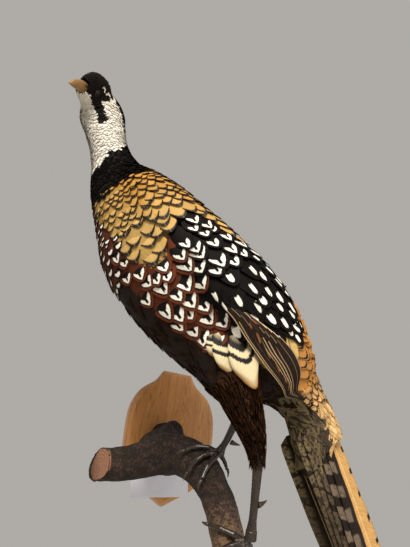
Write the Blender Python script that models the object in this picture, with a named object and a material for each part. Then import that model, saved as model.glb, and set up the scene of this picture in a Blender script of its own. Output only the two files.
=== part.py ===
"""A mounted cock Reeves's pheasant on a branch and a shield plaque, as closed solids.

Units are metres, +Z is up and the wall is the plane y = 0. The origin is the centre of the
plaque's back. The bird stands in front of the wall with its left side to the room, its head
towards -X and its tail hanging towards +X. The solids give the outer surface of the plumage.
"""
import math

import bpy
import numpy as np

# ---- gaps -------------------------------------------------------------------------------------
GAP = 0.0004            # between two touching solids
CUT_CLEARANCE = 0.0004  # by which a cutter stands proud of the solid it copies
TRUNK_CLEARANCE = 0.0012  # the same, for the broad facets of the trunk

# ---- wall shield ------------------------------------------------------------------------------
SHIELD_HALF = (          # right half, from the flat top round to the tip, as x, z
    (0.0245, 0.0990),
    (0.0340, 0.0830),
    (0.0440, 0.0745),
    (0.0580, 0.0630),
    (0.0670, 0.0470),
    (0.0720, 0.0270),
    (0.0720, -0.0050),
    (0.0690, -0.0360),
    (0.0570, -0.0620),
    (0.0380, -0.0800),
    (0.0175, -0.0910),
    (0.0000, -0.1010),
)
SHIELD_THICKNESS = 0.020
SHIELD_BEVEL = 0.006
CARD_SIZE = (0.088, 0.0008, 0.050)
CARD_CENTRE = (-0.010, -0.065)
CARD_TURN = math.radians(6.0)

# ---- branch: x, y, z, radius along its length ---------------------------------------------------
BRANCH = (
    (-0.138, -0.078, -0.066, 0.0200),
    (-0.105, -0.083, -0.062, 0.0205),
    (-0.072, -0.088, -0.057, 0.0220),
    (-0.049, -0.094, -0.048, 0.0235),
    (-0.026, -0.108, -0.040, 0.0265),
    (-0.008, -0.133, -0.045, 0.0250),
    (0.003, -0.158, -0.060, 0.0225),
    (0.009, -0.183, -0.083, 0.0200),
    (0.015, -0.199, -0.107, 0.0185),
    (0.021, -0.208, -0.137, 0.0180),
    (0.028, -0.212, -0.175, 0.0178),
    (0.034, -0.212, -0.212, 0.0170),
)
BRANCH_LENGTH = 0.30      # about, along its middle
BRANCH_SIDES = 14
BRANCH_RIPPLE = 0.06
BRANCH_SPLITS = (0.0, 0.40, 0.64, 1.0)
SAWN_FACE = (-0.1125, -0.082, -0.063)     # middle of the sawn end
SAWN_NORMAL = (-0.92, -0.39, 0.0)
STUB_START = (-0.012, -0.0204, -0.006)
STUB_END = (-0.022, -0.100, -0.036)
STUB_RADII = (0.021, 0.024)
KNOB = (-0.024, -0.103, -0.014, 0.0175)

# ---- bird: midplane, then x, z, back, belly, side of each section from the neck to the tail -----
MIDPLANE = -0.230
SECTIONS = (
    (-0.2430, 0.4140, 0.033, 0.024, 0.023),
    (-0.2330, 0.3960, 0.035, 0.032, 0.027),
    (-0.2240, 0.3760, 0.033, 0.032, 0.029),
    (-0.2110, 0.3370, 0.029, 0.025, 0.027),
    (-0.1910, 0.3020, 0.029, 0.037, 0.033),
    (-0.1650, 0.2650, 0.036, 0.058, 0.046),
    (-0.1290, 0.2280, 0.054, 0.082, 0.063),
    (-0.0960, 0.1900, 0.070, 0.094, 0.074),
    (-0.0540, 0.1530, 0.080, 0.096, 0.078),
    (-0.0080, 0.1130, 0.082, 0.089, 0.074),
    (0.0350, 0.0780, 0.069, 0.073, 0.060),
    (0.0760, 0.0540, 0.046, 0.048, 0.042),
    (0.1060, 0.0260, 0.034, 0.036, 0.022),
)
SECTION_SIDES = 24
SPINE_STEP = 0.019
SPINE_LENGTH = 0.62       # about, from the neck to the tail
NECK_DOME = 0.017         # height of the rounded nape over the first section
COVERT_REACH = 0.046      # how far the tail coverts run on along the tail
# Distances along the spine, as shares of its length, where one node ends and the next starts.
BODY_NODES = (
    ("neck_white", 0.0, 0.175),
    ("neck_collar", 0.175, 0.325),
    ("mantle_breast", 0.325, 0.52),
    ("flanks_back", 0.52, 0.74),
    ("belly_rump", 0.74, 0.90),
    ("tail_coverts", 0.90, 1.0),
)

# ---- head: u is the distance behind the bill's tip ----------------------------------------------
BILL_TIP = (-0.2775, -0.2925, 0.3665)
HEAD_YAW = math.radians(53.0)     # towards the room
HEAD_PITCH = math.radians(-34.0)  # the bill points down
HEAD_ROLL = math.radians(-35.0)   # the left cheek is the lower one
HEAD_SECTIONS = (                 # u, height above the axis, depth below it, half width
    (0.0225, 0.0145, 0.0076, 0.0088),
    (0.0280, 0.0222, 0.0100, 0.0112),
    (0.0350, 0.0275, 0.0138, 0.0138),
    (0.0440, 0.0302, 0.0175, 0.0160),
    (0.0540, 0.0302, 0.0212, 0.0180),
    (0.0630, 0.0298, 0.0232, 0.0187),
    (0.0710, 0.0262, 0.0208, 0.0168),
    (0.0770, 0.0190, 0.0145, 0.0120),
    (0.0800, 0.0110, 0.0070, 0.0060),
)
HEAD_SIDES = 16
BILL_ROOT = 0.034
BILL_SECTIONS = (                 # u, culmen height, half width, depth of the lower mandible
    (0.0340, 0.0100, 0.0078, 0.0062),
    (0.0280, 0.0102, 0.0072, 0.0060),
    (0.0210, 0.0100, 0.0062, 0.0054),
    (0.0140, 0.0092, 0.0050, 0.0044),
    (0.0080, 0.0076, 0.0038, 0.0030),
    (0.0040, 0.0054, 0.0027, 0.0018),
    (0.0000, 0.0020, 0.0010, 0.0008),
)
BILL_DROOP = 0.0042
LOWER_TIP = 0.0035
HEAD_SCALE = 1.06                 # of all the head's lengths below, for its loose feathers
EYE_U = 0.0425
EYE_UP = 0.0045
EYE_RADIUS = 0.0062
EYE_PROUD = 0.0009

# ---- folded wings: share along the wing, lower edge, upper edge from the spine line, bulge -------
WING_START = 0.385
WING_END = 0.965
WING_EDGES = (
    (0.00, -0.004, 0.006, 0.15),
    (0.08, -0.026, 0.034, 0.70),
    (0.22, -0.042, 0.054, 1.00),
    (0.45, -0.047, 0.060, 1.00),
    (0.65, -0.046, 0.050, 0.85),
    (0.82, -0.043, 0.026, 0.60),
    (0.94, -0.040, -0.004, 0.40),
    (1.00, -0.034, -0.024, 0.15),
)
WING_BULGE = 0.0085
WING_RIM = 0.0012
WING_CLEARANCE = 0.0034
WING_TIP_SPREAD = 0.026

# ---- legs: x, y, z, radius from inside the belly to the foot ------------------------------------
LEFT_LEG = (
    (-0.024, -0.256, 0.062, 0.036),
    (-0.006, -0.266, 0.018, 0.0265),
    (0.011, -0.267, -0.022, 0.0165),
    (0.0225, -0.264, -0.054, 0.0088),
    (0.0275, -0.251, -0.090, 0.0062),
    (0.0300, -0.240, -0.119, 0.0060),
    (0.0305, -0.2365, -0.128, 0.0066),
)
RIGHT_LEG = (
    (-0.022, -0.204, 0.072, 0.034),
    (0.004, -0.202, 0.042, 0.0260),
    (0.020, -0.202, 0.022, 0.0160),
    (0.0290, -0.200, 0.004, 0.0090),
    (0.0235, -0.188, -0.022, 0.0062),
    (0.0175, -0.1795, -0.038, 0.0060),
    (0.0160, -0.1775, -0.0435, 0.0066),
)
LEG_SIDES = 14
HOCK_SHARE = 3 / 6   # path share where the feathers end
ANKLE_SHARE = 5 / 6  # path share where the foot begins
TOES = (             # name, length, root radius, axial shift at the tip, turn of the root
    ("middle", 0.047, 0.0042, 0.004, 0.0),
    ("inner", 0.034, 0.0038, -0.017, -0.35),
    ("outer", 0.036, 0.0038, 0.020, 0.35),
    ("hind", -0.017, 0.0034, 0.004, 0.0),
)
CLAW_LENGTH = 0.012
TOE_SIDES = 6
SPUR_LENGTH = 0.014
SPUR_RADIUS = 0.0036

# ---- tail: length, width, distance down the slope and depth under the ridge of each pair ---------
TAIL_ROOT = (0.1115, 0.0160)
TAIL_SLANT = math.radians(22.0)   # from straight down
TAIL_SAG = 0.075                  # metres of droop per metre squared
TAIL_ROOF = math.radians(70.0)    # slope of each side of the folded tail
TAIL_PAIRS = (
    (1.000, 0.052, 0.022, 0.0),
    (0.720, 0.048, 0.034, 0.0027),
    (0.480, 0.044, 0.044, 0.0054),
    (0.330, 0.042, 0.054, 0.0081),
    (0.220, 0.040, 0.066, 0.0108),
)
TAIL_ROOT_WIDTH = 0.020
TAIL_THICKNESS = 0.0018
TAIL_RIDGE_HALF_GAP = 0.0046
TAIL_ROOT_SQUEEZE = 0.80
TAIL_STEPS = 12

# ---- colours --------------------------------------------------------------------------------------
LOOKS = {
    "honey_wood": ((0.50, 0.27, 0.11), 0.45),
    "bark": ((0.075, 0.050, 0.034), 0.85),
    "card_white": ((0.82, 0.81, 0.86), 0.70),
    "bill_horn": ((0.55, 0.40, 0.16), 0.35),
    "eye_glass": ((0.010, 0.006, 0.004), 0.05),
    "leg_skin": ((0.090, 0.055, 0.038), 0.45),
    "claw_horn": ((0.045, 0.030, 0.022), 0.35),
    "plume_black": ((0.012, 0.009, 0.008), 0.70),
    "plume_white": ((0.80, 0.78, 0.70), 0.75),
    "plume_gold": ((0.62, 0.32, 0.07), 0.65),
    "plume_chestnut": ((0.22, 0.07, 0.025), 0.65),
    "plume_wing": ((0.20, 0.11, 0.06), 0.60),
    "plume_thigh": ((0.045, 0.026, 0.018), 0.70),
    "plume_tail": ((0.40, 0.28, 0.14), 0.60),
}


def clear_scene():
    for obj in list(bpy.data.objects):
        bpy.data.objects.remove(obj, do_unlink=True)


def material(name):
    found = bpy.data.materials.get(name)
    if found:
        return found
    colour, rough = LOOKS[name]
    made = bpy.data.materials.new(name)
    made.use_nodes = True
    shader = made.node_tree.nodes["Principled BSDF"]
    shader.inputs["Base Color"].default_value = (*colour, 1.0)
    shader.inputs["Roughness"].default_value = rough
    made.diffuse_color = (*colour, 1.0)
    return made


def unit(v):
    v = np.asarray(v, float)
    return v / np.linalg.norm(v)


def smooth_table(rows, share):
    """The row of numbers at this share (0 to 1) of a table whose rows are evenly spaced."""
    table = np.asarray(rows, float)
    last = len(table) - 1
    place = min(max(share, 0.0), 1.0) * last
    i = min(int(place), last - 1)
    t = place - i
    p1, p2 = table[i], table[i + 1]
    p0 = table[i - 1] if i > 0 else 2 * p1 - p2
    p3 = table[i + 2] if i + 2 <= last else 2 * p2 - p1
    return 0.5 * (2 * p1 + (p2 - p0) * t + (2 * p0 - 5 * p1 + 4 * p2 - p3) * t ** 2
                  + (3 * p1 - p0 - 3 * p2 + p3) * t ** 3)


def keyed(rows, key):
    """The numbers at this value of the first column, read straight between rows."""
    table = np.asarray(rows, float)
    return [float(np.interp(key, table[:, 0], table[:, c])) for c in range(1, table.shape[1])]


def new_object(name, points, faces, look):
    mesh = bpy.data.meshes.new(name)
    mesh.from_pydata([tuple(float(c) for c in p) for p in points], [], faces)
    mesh.validate()
    obj = bpy.data.objects.new(name, mesh)
    bpy.context.scene.collection.objects.link(obj)
    obj.data.materials.append(material(look))
    return obj


def face_outward(points, faces):
    """The faces, all turned over if they enclose a negative volume."""
    volume = 0.0
    for face in faces:
        a = points[face[0]]
        for i in range(1, len(face) - 1):
            volume += float(np.dot(a, np.cross(points[face[i]], points[face[i + 1]])))
    return faces if volume > 0 else [face[::-1] for face in faces]


def loft(name, rings, look):
    """One closed solid through rings of equally many points, capped at both ends."""
    sides = len(rings[0])
    points = [np.asarray(p, float) for ring in rings for p in ring]
    faces = []
    for r in range(len(rings) - 1):
        for k in range(sides):
            n = (k + 1) % sides
            faces.append((r * sides + k, r * sides + n, (r + 1) * sides + n, (r + 1) * sides + k))
    faces.append(tuple(reversed(range(sides))))
    faces.append(tuple((len(rings) - 1) * sides + k for k in range(sides)))
    return new_object(name, points, face_outward(points, faces), look)


def circle_ring(centre, across, up, radius, sides, ripple=0.0, phase=0.0):
    ring = []
    for k in range(sides):
        a = 2 * math.pi * k / sides
        r = radius * (1 + ripple * math.sin(3 * a + phase) + 0.5 * ripple * math.sin(5 * a - 2 * phase))
        ring.append(centre + r * (math.cos(a) * across + math.sin(a) * up))
    return ring


def tube_rings(rows, start, end, steps, sides, ripple=0.0):
    """Rings along the smooth path of rows (x, y, z, radius) between two shares of it."""
    rings = []
    for i in range(steps + 1):
        share = start + (end - start) * i / steps
        here = smooth_table(rows, share)
        ahead = smooth_table(rows, min(share + 0.01, 1.0))
        behind = smooth_table(rows, max(share - 0.01, 0.0))
        along = unit(ahead[:3] - behind[:3])
        across = unit(np.cross(along, (0.23, 0.95, 0.21)))
        up = np.cross(across, along)
        rings.append(circle_ring(here[:3], across, up, here[3], sides, ripple, 9 * share))
    return rings


def boolean(target, other, operation):
    modifier = target.modifiers.new(operation.lower(), "BOOLEAN")
    modifier.operation = operation
    modifier.solver = "EXACT"
    modifier.object = other
    depsgraph = bpy.context.evaluated_depsgraph_get()
    made = bpy.data.meshes.new_from_object(target.evaluated_get(depsgraph))
    target.modifiers.clear()
    target.data = made


def slab_rings(middle, normal, size):
    """A square block that lies wholly on the normal's side of a plane through middle."""
    normal = unit(normal)
    across = unit(np.cross(normal, (0.0, 0.0, 1.0)))
    up = np.cross(across, normal)
    corners = [across * a + up * b for a, b in ((-1, -1), (1, -1), (1, 1), (-1, 1))]
    return [[np.array(middle) + c * size + normal * depth for c in corners] for depth in (0.0, size)]


def cut_with(target, cutters):
    for cutter in cutters:
        boolean(target, cutter, "DIFFERENCE")


def discard(objects):
    for obj in objects:
        bpy.data.objects.remove(obj, do_unlink=True)


# ---- plaque ---------------------------------------------------------------------------------------
def shield_outline(inset):
    """The shield's outline as (x, z), clockwise from the right end of its flat top."""
    middle = (SHIELD_HALF[0][1] + SHIELD_HALF[-1][1]) / 2
    half_width = max(x for x, _ in SHIELD_HALF)
    half_height = SHIELD_HALF[0][1] - middle
    spans = 2 * len(SHIELD_HALF) - 2
    smooth = [smooth_table(SHIELD_HALF, i / spans) for i in range(spans + 1)]
    right = [(x * (1 - inset / half_width), middle + (z - middle) * (1 - inset / half_height))
             for x, z in smooth]
    return right + [(-x, z) for x, z in reversed(right[:-1])]


def build_plaque():
    rings = []
    for y, inset in ((0.0, 0.0), (-SHIELD_THICKNESS + SHIELD_BEVEL, 0.0),
                     (-SHIELD_THICKNESS + 0.55 * SHIELD_BEVEL, 0.30 * SHIELD_BEVEL),
                     (-SHIELD_THICKNESS + 0.20 * SHIELD_BEVEL, 0.85 * SHIELD_BEVEL),
                     (-SHIELD_THICKNESS, 1.20 * SHIELD_BEVEL)):
        rings.append([(x, y, z) for x, z in shield_outline(inset)])
    loft("plaque_shield", rings, "honey_wood")


def build_card():
    width, thick, height = CARD_SIZE
    back = -SHIELD_THICKNESS - GAP
    ca, sa = math.cos(CARD_TURN), math.sin(CARD_TURN)
    rings = []
    for y in (back, back - thick):
        ring = []
        for cx, cz in ((-1, -1), (1, -1), (1, 1), (-1, 1)):
            x, z = cx * width / 2, cz * height / 2
            ring.append((CARD_CENTRE[0] + x * ca - z * sa, y, CARD_CENTRE[1] + x * sa + z * ca))
        rings.append(ring)
    loft("label_card", rings, "card_white")


# ---- branch ---------------------------------------------------------------------------------------
def knob_rings(centre, size):
    rings = []
    for share in (-0.95, -0.6, 0.0, 0.6, 0.95):
        rings.append(circle_ring(centre + np.array((0.0, 0.0, share * size)), np.array((1.0, 0, 0)),
                                 np.array((0, 1.0, 0)), size * math.sqrt(1 - share ** 2), 12, 0.05))
    return rings


def build_branch():
    names = ("branch_arm", "branch_bend", "branch_stem")
    made = []
    for name, start, end in zip(names, BRANCH_SPLITS[:-1], BRANCH_SPLITS[1:]):
        first = start + (GAP / 2 / BRANCH_LENGTH if start > 0 else 0.0)
        last = end - (GAP / 2 / BRANCH_LENGTH if end < 1 else 0.0)
        steps = max(6, round((end - start) * 26))
        rings = tube_rings(BRANCH, first, last, steps, BRANCH_SIDES, BRANCH_RIPPLE)
        made.append(loft(name, rings, "bark"))
    knob = np.array(KNOB[:3])
    lump = loft("branch_knob", knob_rings(knob, KNOB[3]), "bark")
    inflated = [loft("cut_knob", knob_rings(knob, KNOB[3] + 0.0025), "bark")]
    boolean(made[0], lump, "UNION")
    saw = loft("cut_saw", slab_rings(SAWN_FACE, SAWN_NORMAL, 0.08), "bark")
    boolean(made[0], saw, "DIFFERENCE")
    grown = [row[:3] + (row[3] * (1 + 1.6 * BRANCH_RIPPLE) + 0.001,) for row in BRANCH]
    inflated.append(loft("cut_arm", tube_rings(grown, 0.0, BRANCH_SPLITS[2], 16, BRANCH_SIDES), "bark"))
    stub_rows = []
    for i in range(4):
        t = i / 3
        p = np.array(STUB_START) + (np.array(STUB_END) - np.array(STUB_START)) * t
        stub_rows.append((*p, STUB_RADII[0] + (STUB_RADII[1] - STUB_RADII[0]) * t))
    rings = []
    for x, y, z, radius in stub_rows:
        rings.append(circle_ring(np.array((x, y, z)), np.array((1.0, 0, 0)), np.array((0, 0, 1.0)),
                                 radius, BRANCH_SIDES, 0.04, 60 * y))
    stub = loft("branch_stub", rings, "bark")
    cut_with(stub, inflated)
    discard([lump, saw] + inflated)


# ---- body -----------------------------------------------------------------------------------------
def spine(share):
    x, z, back, belly, side = smooth_table(SECTIONS, share)
    return np.array((x, MIDPLANE, z)), back, belly, side


def spine_frame(share):
    here = spine(share)
    ahead = spine(min(share + 0.004, 1.0))[0]
    behind = spine(max(share - 0.004, 0.0))[0]
    along = unit(ahead - behind)
    dorsal = np.array((-along[2], 0.0, along[0]))
    return here, along, dorsal


def body_point(share, angle, grow=0.0):
    """A point of the plumage: angle 0 is the bird's left side and a quarter turn is its back."""
    (centre, back, belly, side), along, dorsal = spine_frame(share)
    up = math.sin(angle)
    height = (back if up > 0 else belly) + grow
    return centre + dorsal * height * up + np.array((0.0, -1.0, 0.0)) * (side + grow) * math.cos(angle)


def body_rings(start, end, grow=0.0):
    steps = max(2, round((end - start) * SPINE_LENGTH / SPINE_STEP))
    rings = []
    for i in range(steps + 1):
        share = start + (end - start) * i / steps
        rings.append([body_point(share, 2 * math.pi * k / SECTION_SIDES, grow)
                      for k in range(SECTION_SIDES)])
    return rings


def dome_rings():
    """Rings that close the nape over the first section, the smallest one first."""
    (centre, _, _, _), along, _ = spine_frame(0.0)
    base = body_rings(0.0, 0.02)[0]
    rings = []
    for rise in (1.35, 1.0, 0.65, 0.3):
        shift = -along * NECK_DOME * math.sin(rise)
        rings.append([centre + (p - centre) * math.cos(rise) + shift for p in base])
    return rings


def covert_rings():
    """Rings that carry the last section of the trunk on over the root of the tail."""
    (_, back, belly, side), _, _ = spine_frame(1.0)
    rings = []
    for distance in (0.010, 0.022, 0.034, COVERT_REACH):
        along = unit(tail_line(distance + 0.002) - tail_line(distance - 0.002))
        dorsal = np.array((-along[2], 0.0, along[0]))
        ring = []
        for k in range(SECTION_SIDES):
            a = 2 * math.pi * k / SECTION_SIDES
            height = back if math.sin(a) > 0 else belly
            ring.append(tail_line(distance) + dorsal * height * math.sin(a)
                        + np.array((0.0, -1.0, 0.0)) * (side + 0.05 * distance) * math.cos(a))
        rings.append(ring)
    return rings


def build_body():
    looks = {"neck_white": "plume_white", "neck_collar": "plume_black", "mantle_breast": "plume_gold",
             "flanks_back": "plume_chestnut", "belly_rump": "plume_thigh", "tail_coverts": "plume_gold"}
    half_gap = GAP / 2 / SPINE_LENGTH
    for name, start, end in BODY_NODES:
        first = start + (half_gap if start > 0 else 0.0)
        last = end - (half_gap if end < 1 else 0.0)
        rings = body_rings(first, last)
        if start == 0:
            rings = dome_rings() + rings
        if end == 1:
            rings = rings + covert_rings()
        loft(name, rings, looks[name])


# ---- head -----------------------------------------------------------------------------------------
def head_axes():
    ahead = np.array((-math.cos(HEAD_PITCH) * math.cos(HEAD_YAW),
                      -math.cos(HEAD_PITCH) * math.sin(HEAD_YAW), math.sin(HEAD_PITCH)))
    level = np.array((math.sin(HEAD_YAW), -math.cos(HEAD_YAW), 0.0))
    upright = np.cross(ahead, level)
    left = level * math.cos(HEAD_ROLL) + upright * math.sin(HEAD_ROLL)
    return ahead, left, np.cross(ahead, left)


def head_point(u, across, above):
    ahead, left, up = head_axes()
    return np.array(BILL_TIP) + HEAD_SCALE * (left * across + up * above - ahead * u)


def head_rings(grow=0.0):
    rings = []
    for share in np.linspace(0.0, 1.0, 13):
        u, top, bottom, half = smooth_table(HEAD_SECTIONS, share)
        ring = []
        for k in range(HEAD_SIDES):
            a = 2 * math.pi * k / HEAD_SIDES
            rise = math.sin(a)
            ring.append(head_point(u + (share - 0.5) * 2 * grow, (half + grow) * math.cos(a),
                                   ((top if rise > 0 else bottom) + grow) * rise))
        rings.append(ring)
    return rings


def bill_rings(lower, grow=0.0):
    rings = []
    last = BILL_ROOT + grow
    for u, height, half, depth in BILL_SECTIONS:
        if lower and u < LOWER_TIP:
            u = LOWER_TIP
        u = last if u == BILL_SECTIONS[0][0] else u
        droop = BILL_DROOP * (1 - u / BILL_ROOT) ** 2
        ring = []
        count = 8
        for k in range(count + 1):
            a = math.pi * k / count
            across = math.cos(a) * (half + grow) * (0.82 if lower else 1.0)
            reach = math.sin(a) ** 0.9
            if lower:
                above = -GAP / 2 - reach * (depth + grow)
            else:
                above = GAP / 2 + reach * (height + grow)
            ring.append(head_point(u, across, above - droop))
        if grow:
            shift = GAP + grow
            ring = [p + head_axes()[2] * (shift if lower else -shift) * (k in (0, count))
                    for k, p in enumerate(ring)]
        rings.append(ring)
    return rings


def sphere_rings(centre, radius, pole, sides=12, bands=7):
    pole = unit(pole)
    across = unit(np.cross(pole, (0.1, 0.2, 1.0)))
    up = np.cross(pole, across)
    rings = []
    for i in range(bands + 1):
        a = math.pi * (0.03 + 0.94 * i / bands)
        rings.append(circle_ring(centre + pole * radius * math.cos(a), across, up,
                                 radius * math.sin(a), sides))
    return rings


def eye_centre(side):
    u, top, _, half = keyed(tuple((row[0],) + row for row in HEAD_SECTIONS), EYE_U)
    reach = half * math.sqrt(1 - (EYE_UP / top) ** 2)
    return head_point(EYE_U, side * (reach + EYE_PROUD - EYE_RADIUS), EYE_UP)


def build_head():
    head = loft("head", head_rings(), "plume_black")
    loft("bill_upper", bill_rings(False), "bill_horn")
    loft("bill_lower", bill_rings(True), "bill_horn")
    cutters = [loft("cut_upper", bill_rings(False, CUT_CLEARANCE), "bill_horn"),
               loft("cut_lower", bill_rings(True, CUT_CLEARANCE), "bill_horn")]
    _, left, _ = head_axes()
    for side, word in ((1, "left"), (-1, "right")):
        centre = eye_centre(side)
        loft("eye_" + word, sphere_rings(centre, EYE_RADIUS, left * side), "eye_glass")
        cutters.append(loft("cut_eye_" + word,
                            sphere_rings(centre, EYE_RADIUS + CUT_CLEARANCE, left * side), "eye_glass"))
    cut_with(head, cutters)
    neck_cut = loft("cut_head", head_rings(CUT_CLEARANCE), "plume_black")
    cut_with(bpy.data.objects["neck_white"], [neck_cut])
    discard(cutters + [neck_cut])


# ---- wings ----------------------------------------------------------------------------------------
def wing_point(side, along_share, rise, lift):
    """A point over the flank: rise is the height from the spine line, lift the distance off it."""
    share = WING_START + (WING_END - WING_START) * along_share
    (centre, back, belly, half), _, dorsal = spine_frame(share)
    spread = WING_TIP_SPREAD * max(0.0, along_share - 0.45) / 0.55
    tall = (back if rise > 0 else belly) + spread * 1.3 + WING_CLEARANCE + lift
    wide = half + spread + WING_CLEARANCE + lift
    sine = max(-0.97, min(0.97, rise / tall))
    return centre + dorsal * rise + np.array((0.0, -side, 0.0)) * wide * math.sqrt(1 - sine ** 2)


def build_wing(side, word):
    steps, across = 14, 8
    points, faces = [], []
    layers = []
    for lift_kind in (0, 1):
        grid = []
        for i in range(steps + 1):
            t = i / steps
            low, high, bulge = keyed(WING_EDGES, t)
            row = []
            for j in range(across + 1):
                v = j / across
                rise = low + (high - low) * v
                lift = 0.0
                if lift_kind:
                    lift = WING_RIM + WING_BULGE * bulge * math.sin(math.pi * v) ** 0.8
                row.append(len(points))
                points.append(wing_point(side, t, rise, lift))
            grid.append(row)
        layers.append(grid)
    inner, outer = layers
    for i in range(steps):
        for j in range(across):
            faces.append((inner[i][j], inner[i + 1][j], inner[i + 1][j + 1], inner[i][j + 1]))
            faces.append((outer[i][j], outer[i][j + 1], outer[i + 1][j + 1], outer[i + 1][j]))
    for i in range(steps):
        for j, flip in ((0, False), (across, True)):
            quad = (inner[i][j], outer[i][j], outer[i + 1][j], inner[i + 1][j])
            faces.append(quad[::-1] if flip else quad)
    for j in range(across):
        for i, flip in ((0, True), (steps, False)):
            quad = (inner[i][j], outer[i][j], outer[i][j + 1], inner[i][j + 1])
            faces.append(quad[::-1] if flip else quad)
    new_object("wing_" + word, points, face_outward(points, faces), "plume_wing")


# ---- legs and feet --------------------------------------------------------------------------------
def branch_axis_near(point):
    """The point and direction of the branch's axis nearest to this point, and its radius."""
    shares = np.linspace(0, 1, 401)
    rows = np.array([smooth_table(BRANCH, s) for s in shares])
    i = int(np.argmin(np.linalg.norm(rows[:, :3] - np.asarray(point), axis=1)))
    return float(shares[i])


def grip_point(share, outward, angle, height):
    """A point over the bark, turned by angle about the branch from the outward direction."""
    here = smooth_table(BRANCH, share)
    ahead = smooth_table(BRANCH, min(share + 0.01, 1))[:3]
    behind = smooth_table(BRANCH, max(share - 0.01, 0))[:3]
    along = unit(ahead - behind)
    out = unit(outward - along * np.dot(outward, along))
    around = np.cross(along, out)
    reach = here[3] * (1 + BRANCH_RIPPLE * 1.5) + height
    return here[:3] + reach * (math.cos(angle) * out + math.sin(angle) * around), along


def build_leg(rows, word, side, cutters):
    thigh = loft("thigh_" + word, tube_rings(rows, 0.0, HOCK_SHARE - 0.001, 9, LEG_SIDES), "plume_thigh")
    cut_with(thigh, cutters)
    loft("tarsus_" + word, tube_rings(rows, HOCK_SHARE + 0.001, ANKLE_SHARE - 0.001, 7, 12), "leg_skin")
    foot = loft("foot_" + word, tube_rings(rows, ANKLE_SHARE + 0.001, 1.0, 3, 12), "leg_skin")
    pad = np.array(rows[-1][:3])
    start = branch_axis_near(pad)
    outward = unit(pad - smooth_table(BRANCH, start)[:3])
    for toe, length, radius, shift, turn in TOES:
        radius_here = smooth_table(BRANCH, start)[3] + radius
        rings, claw_rings = [], []
        steps = 6
        path = []
        for i in range(steps + 2):
            far = i / steps
            angle = math.copysign(far * abs(length) / radius_here, length)
            share = start + shift * far / BRANCH_LENGTH
            thick = radius * (1 - 0.30 * min(far, 1.0))
            height = thick + GAP
            point, along = grip_point(share, outward, angle, height)
            path.append((point, along, thick, far))
        for i in range(len(path) - 1):
            point, along, thick, far = path[i]
            ahead = unit(path[i + 1][0] - path[max(i - 1, 0)][0])
            across = unit(np.cross(ahead, unit(point - smooth_table(BRANCH, start)[:3])))
            up = np.cross(across, ahead)
            if far <= 1.0001:
                knuckle = 1.0 + 0.10 * math.cos(far * 3 * 2 * math.pi)
                rings.append(circle_ring(point, across, up, thick * knuckle, TOE_SIDES))
        solid = loft("toe_" + toe, rings, "leg_skin")
        boolean(foot, solid, "UNION")
        discard([solid])
        end, along, thick, _ = path[steps]
        before = path[steps - 1][0]
        ahead = unit(end - before)
        outward_here = unit(end - smooth_table(BRANCH, start + shift / BRANCH_LENGTH)[:3])
        for i in range(4):
            t = i / 3
            centre = end + ahead * (GAP + 0.0003 + CLAW_LENGTH * t) + outward_here * (
                0.0022 * math.sin(math.pi * t) - 0.0012 * t)
            across = unit(np.cross(ahead, outward_here))
            up = np.cross(across, ahead)
            claw_rings.append(circle_ring(centre, across, up, 0.0022 * (1 - t) + 0.0005, 6))
        loft("claw_" + toe + "_" + word, claw_rings, "claw_horn")
    share = HOCK_SHARE + 0.62 * (ANKLE_SHARE - HOCK_SHARE)
    here = smooth_table(rows, share)
    along_leg = unit(smooth_table(rows, share + 0.02)[:3] - smooth_table(rows, share - 0.02)[:3])
    back = np.array((0.85, 0.30 * side, 0.05))
    back = unit(back - along_leg * np.dot(back, along_leg))
    spur_rings = []
    for i in range(4):
        t = i / 3
        centre = here[:3] + back * (here[3] + 0.0009 + SPUR_LENGTH * t) + np.array((0, 0, 0.003 * t * t))
        across = unit(np.cross(back, (0, 0, 1.0)))
        up = np.cross(across, back)
        spur_rings.append(circle_ring(centre, across, up, SPUR_RADIUS * (1 - t) + 0.0006, 6))
    loft("spur_" + word, spur_rings, "claw_horn")


# ---- tail -----------------------------------------------------------------------------------------
def tail_line(distance):
    root = np.array((TAIL_ROOT[0], MIDPLANE, TAIL_ROOT[1]))
    return root + np.array((math.sin(TAIL_SLANT) * distance - TAIL_SAG * distance ** 2, 0.0,
                            -math.cos(TAIL_SLANT) * distance - 0.35 * TAIL_SAG * distance ** 2))


def tail_point(side, distance, down, under):
    """A point of the folded tail: down is along the side's slope, under is beneath its surface."""
    along = unit(tail_line(distance + 0.002) - tail_line(distance - 0.002))
    dorsal = np.array((-along[2], 0.0, along[0]))
    out = np.array((0.0, -side, 0.0))
    slope = -dorsal * math.sin(TAIL_ROOF) + out * math.cos(TAIL_ROOF)
    inner = -dorsal * math.cos(TAIL_ROOF) - out * math.sin(TAIL_ROOF)
    crown = tail_line(distance) + dorsal * 0.030
    return crown + out * TAIL_RIDGE_HALF_GAP + slope * down + inner * under


def build_tail():
    for pair, (length, width, offset, under) in enumerate(TAIL_PAIRS):
        for side, word in ((1, "left"), (-1, "right")):
            rings = []
            for i in range(TAIL_STEPS + 1):
                t = i / TAIL_STEPS
                start = COVERT_REACH + 0.0006 + 0.0018 * pair
                distance = start + (length - start) * t
                open_up = min(1.0, distance / 0.16)
                half = (TAIL_ROOT_WIDTH / 2 + (width - TAIL_ROOT_WIDTH) / 2 * open_up ** 0.7)
                half *= max(0.06, (1 - t ** 5)) ** 0.75 * (1 - 0.30 * t)
                middle = offset * (TAIL_ROOT_SQUEEZE + (1 - TAIL_ROOT_SQUEEZE) * open_up)
                middle *= 1 - 0.35 * t
                outer = [(middle - half, under), (middle, under), (middle + half, under)]
                ring = []
                for down, low in outer:
                    ring.append(tail_point(side, distance, down, low))
                for down, low in reversed(outer):
                    ring.append(tail_point(side, distance, down, low + TAIL_THICKNESS))
                rings.append(ring)
            loft("tail_%s_%d" % (word, pair + 1), rings, "plume_tail")


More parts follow.
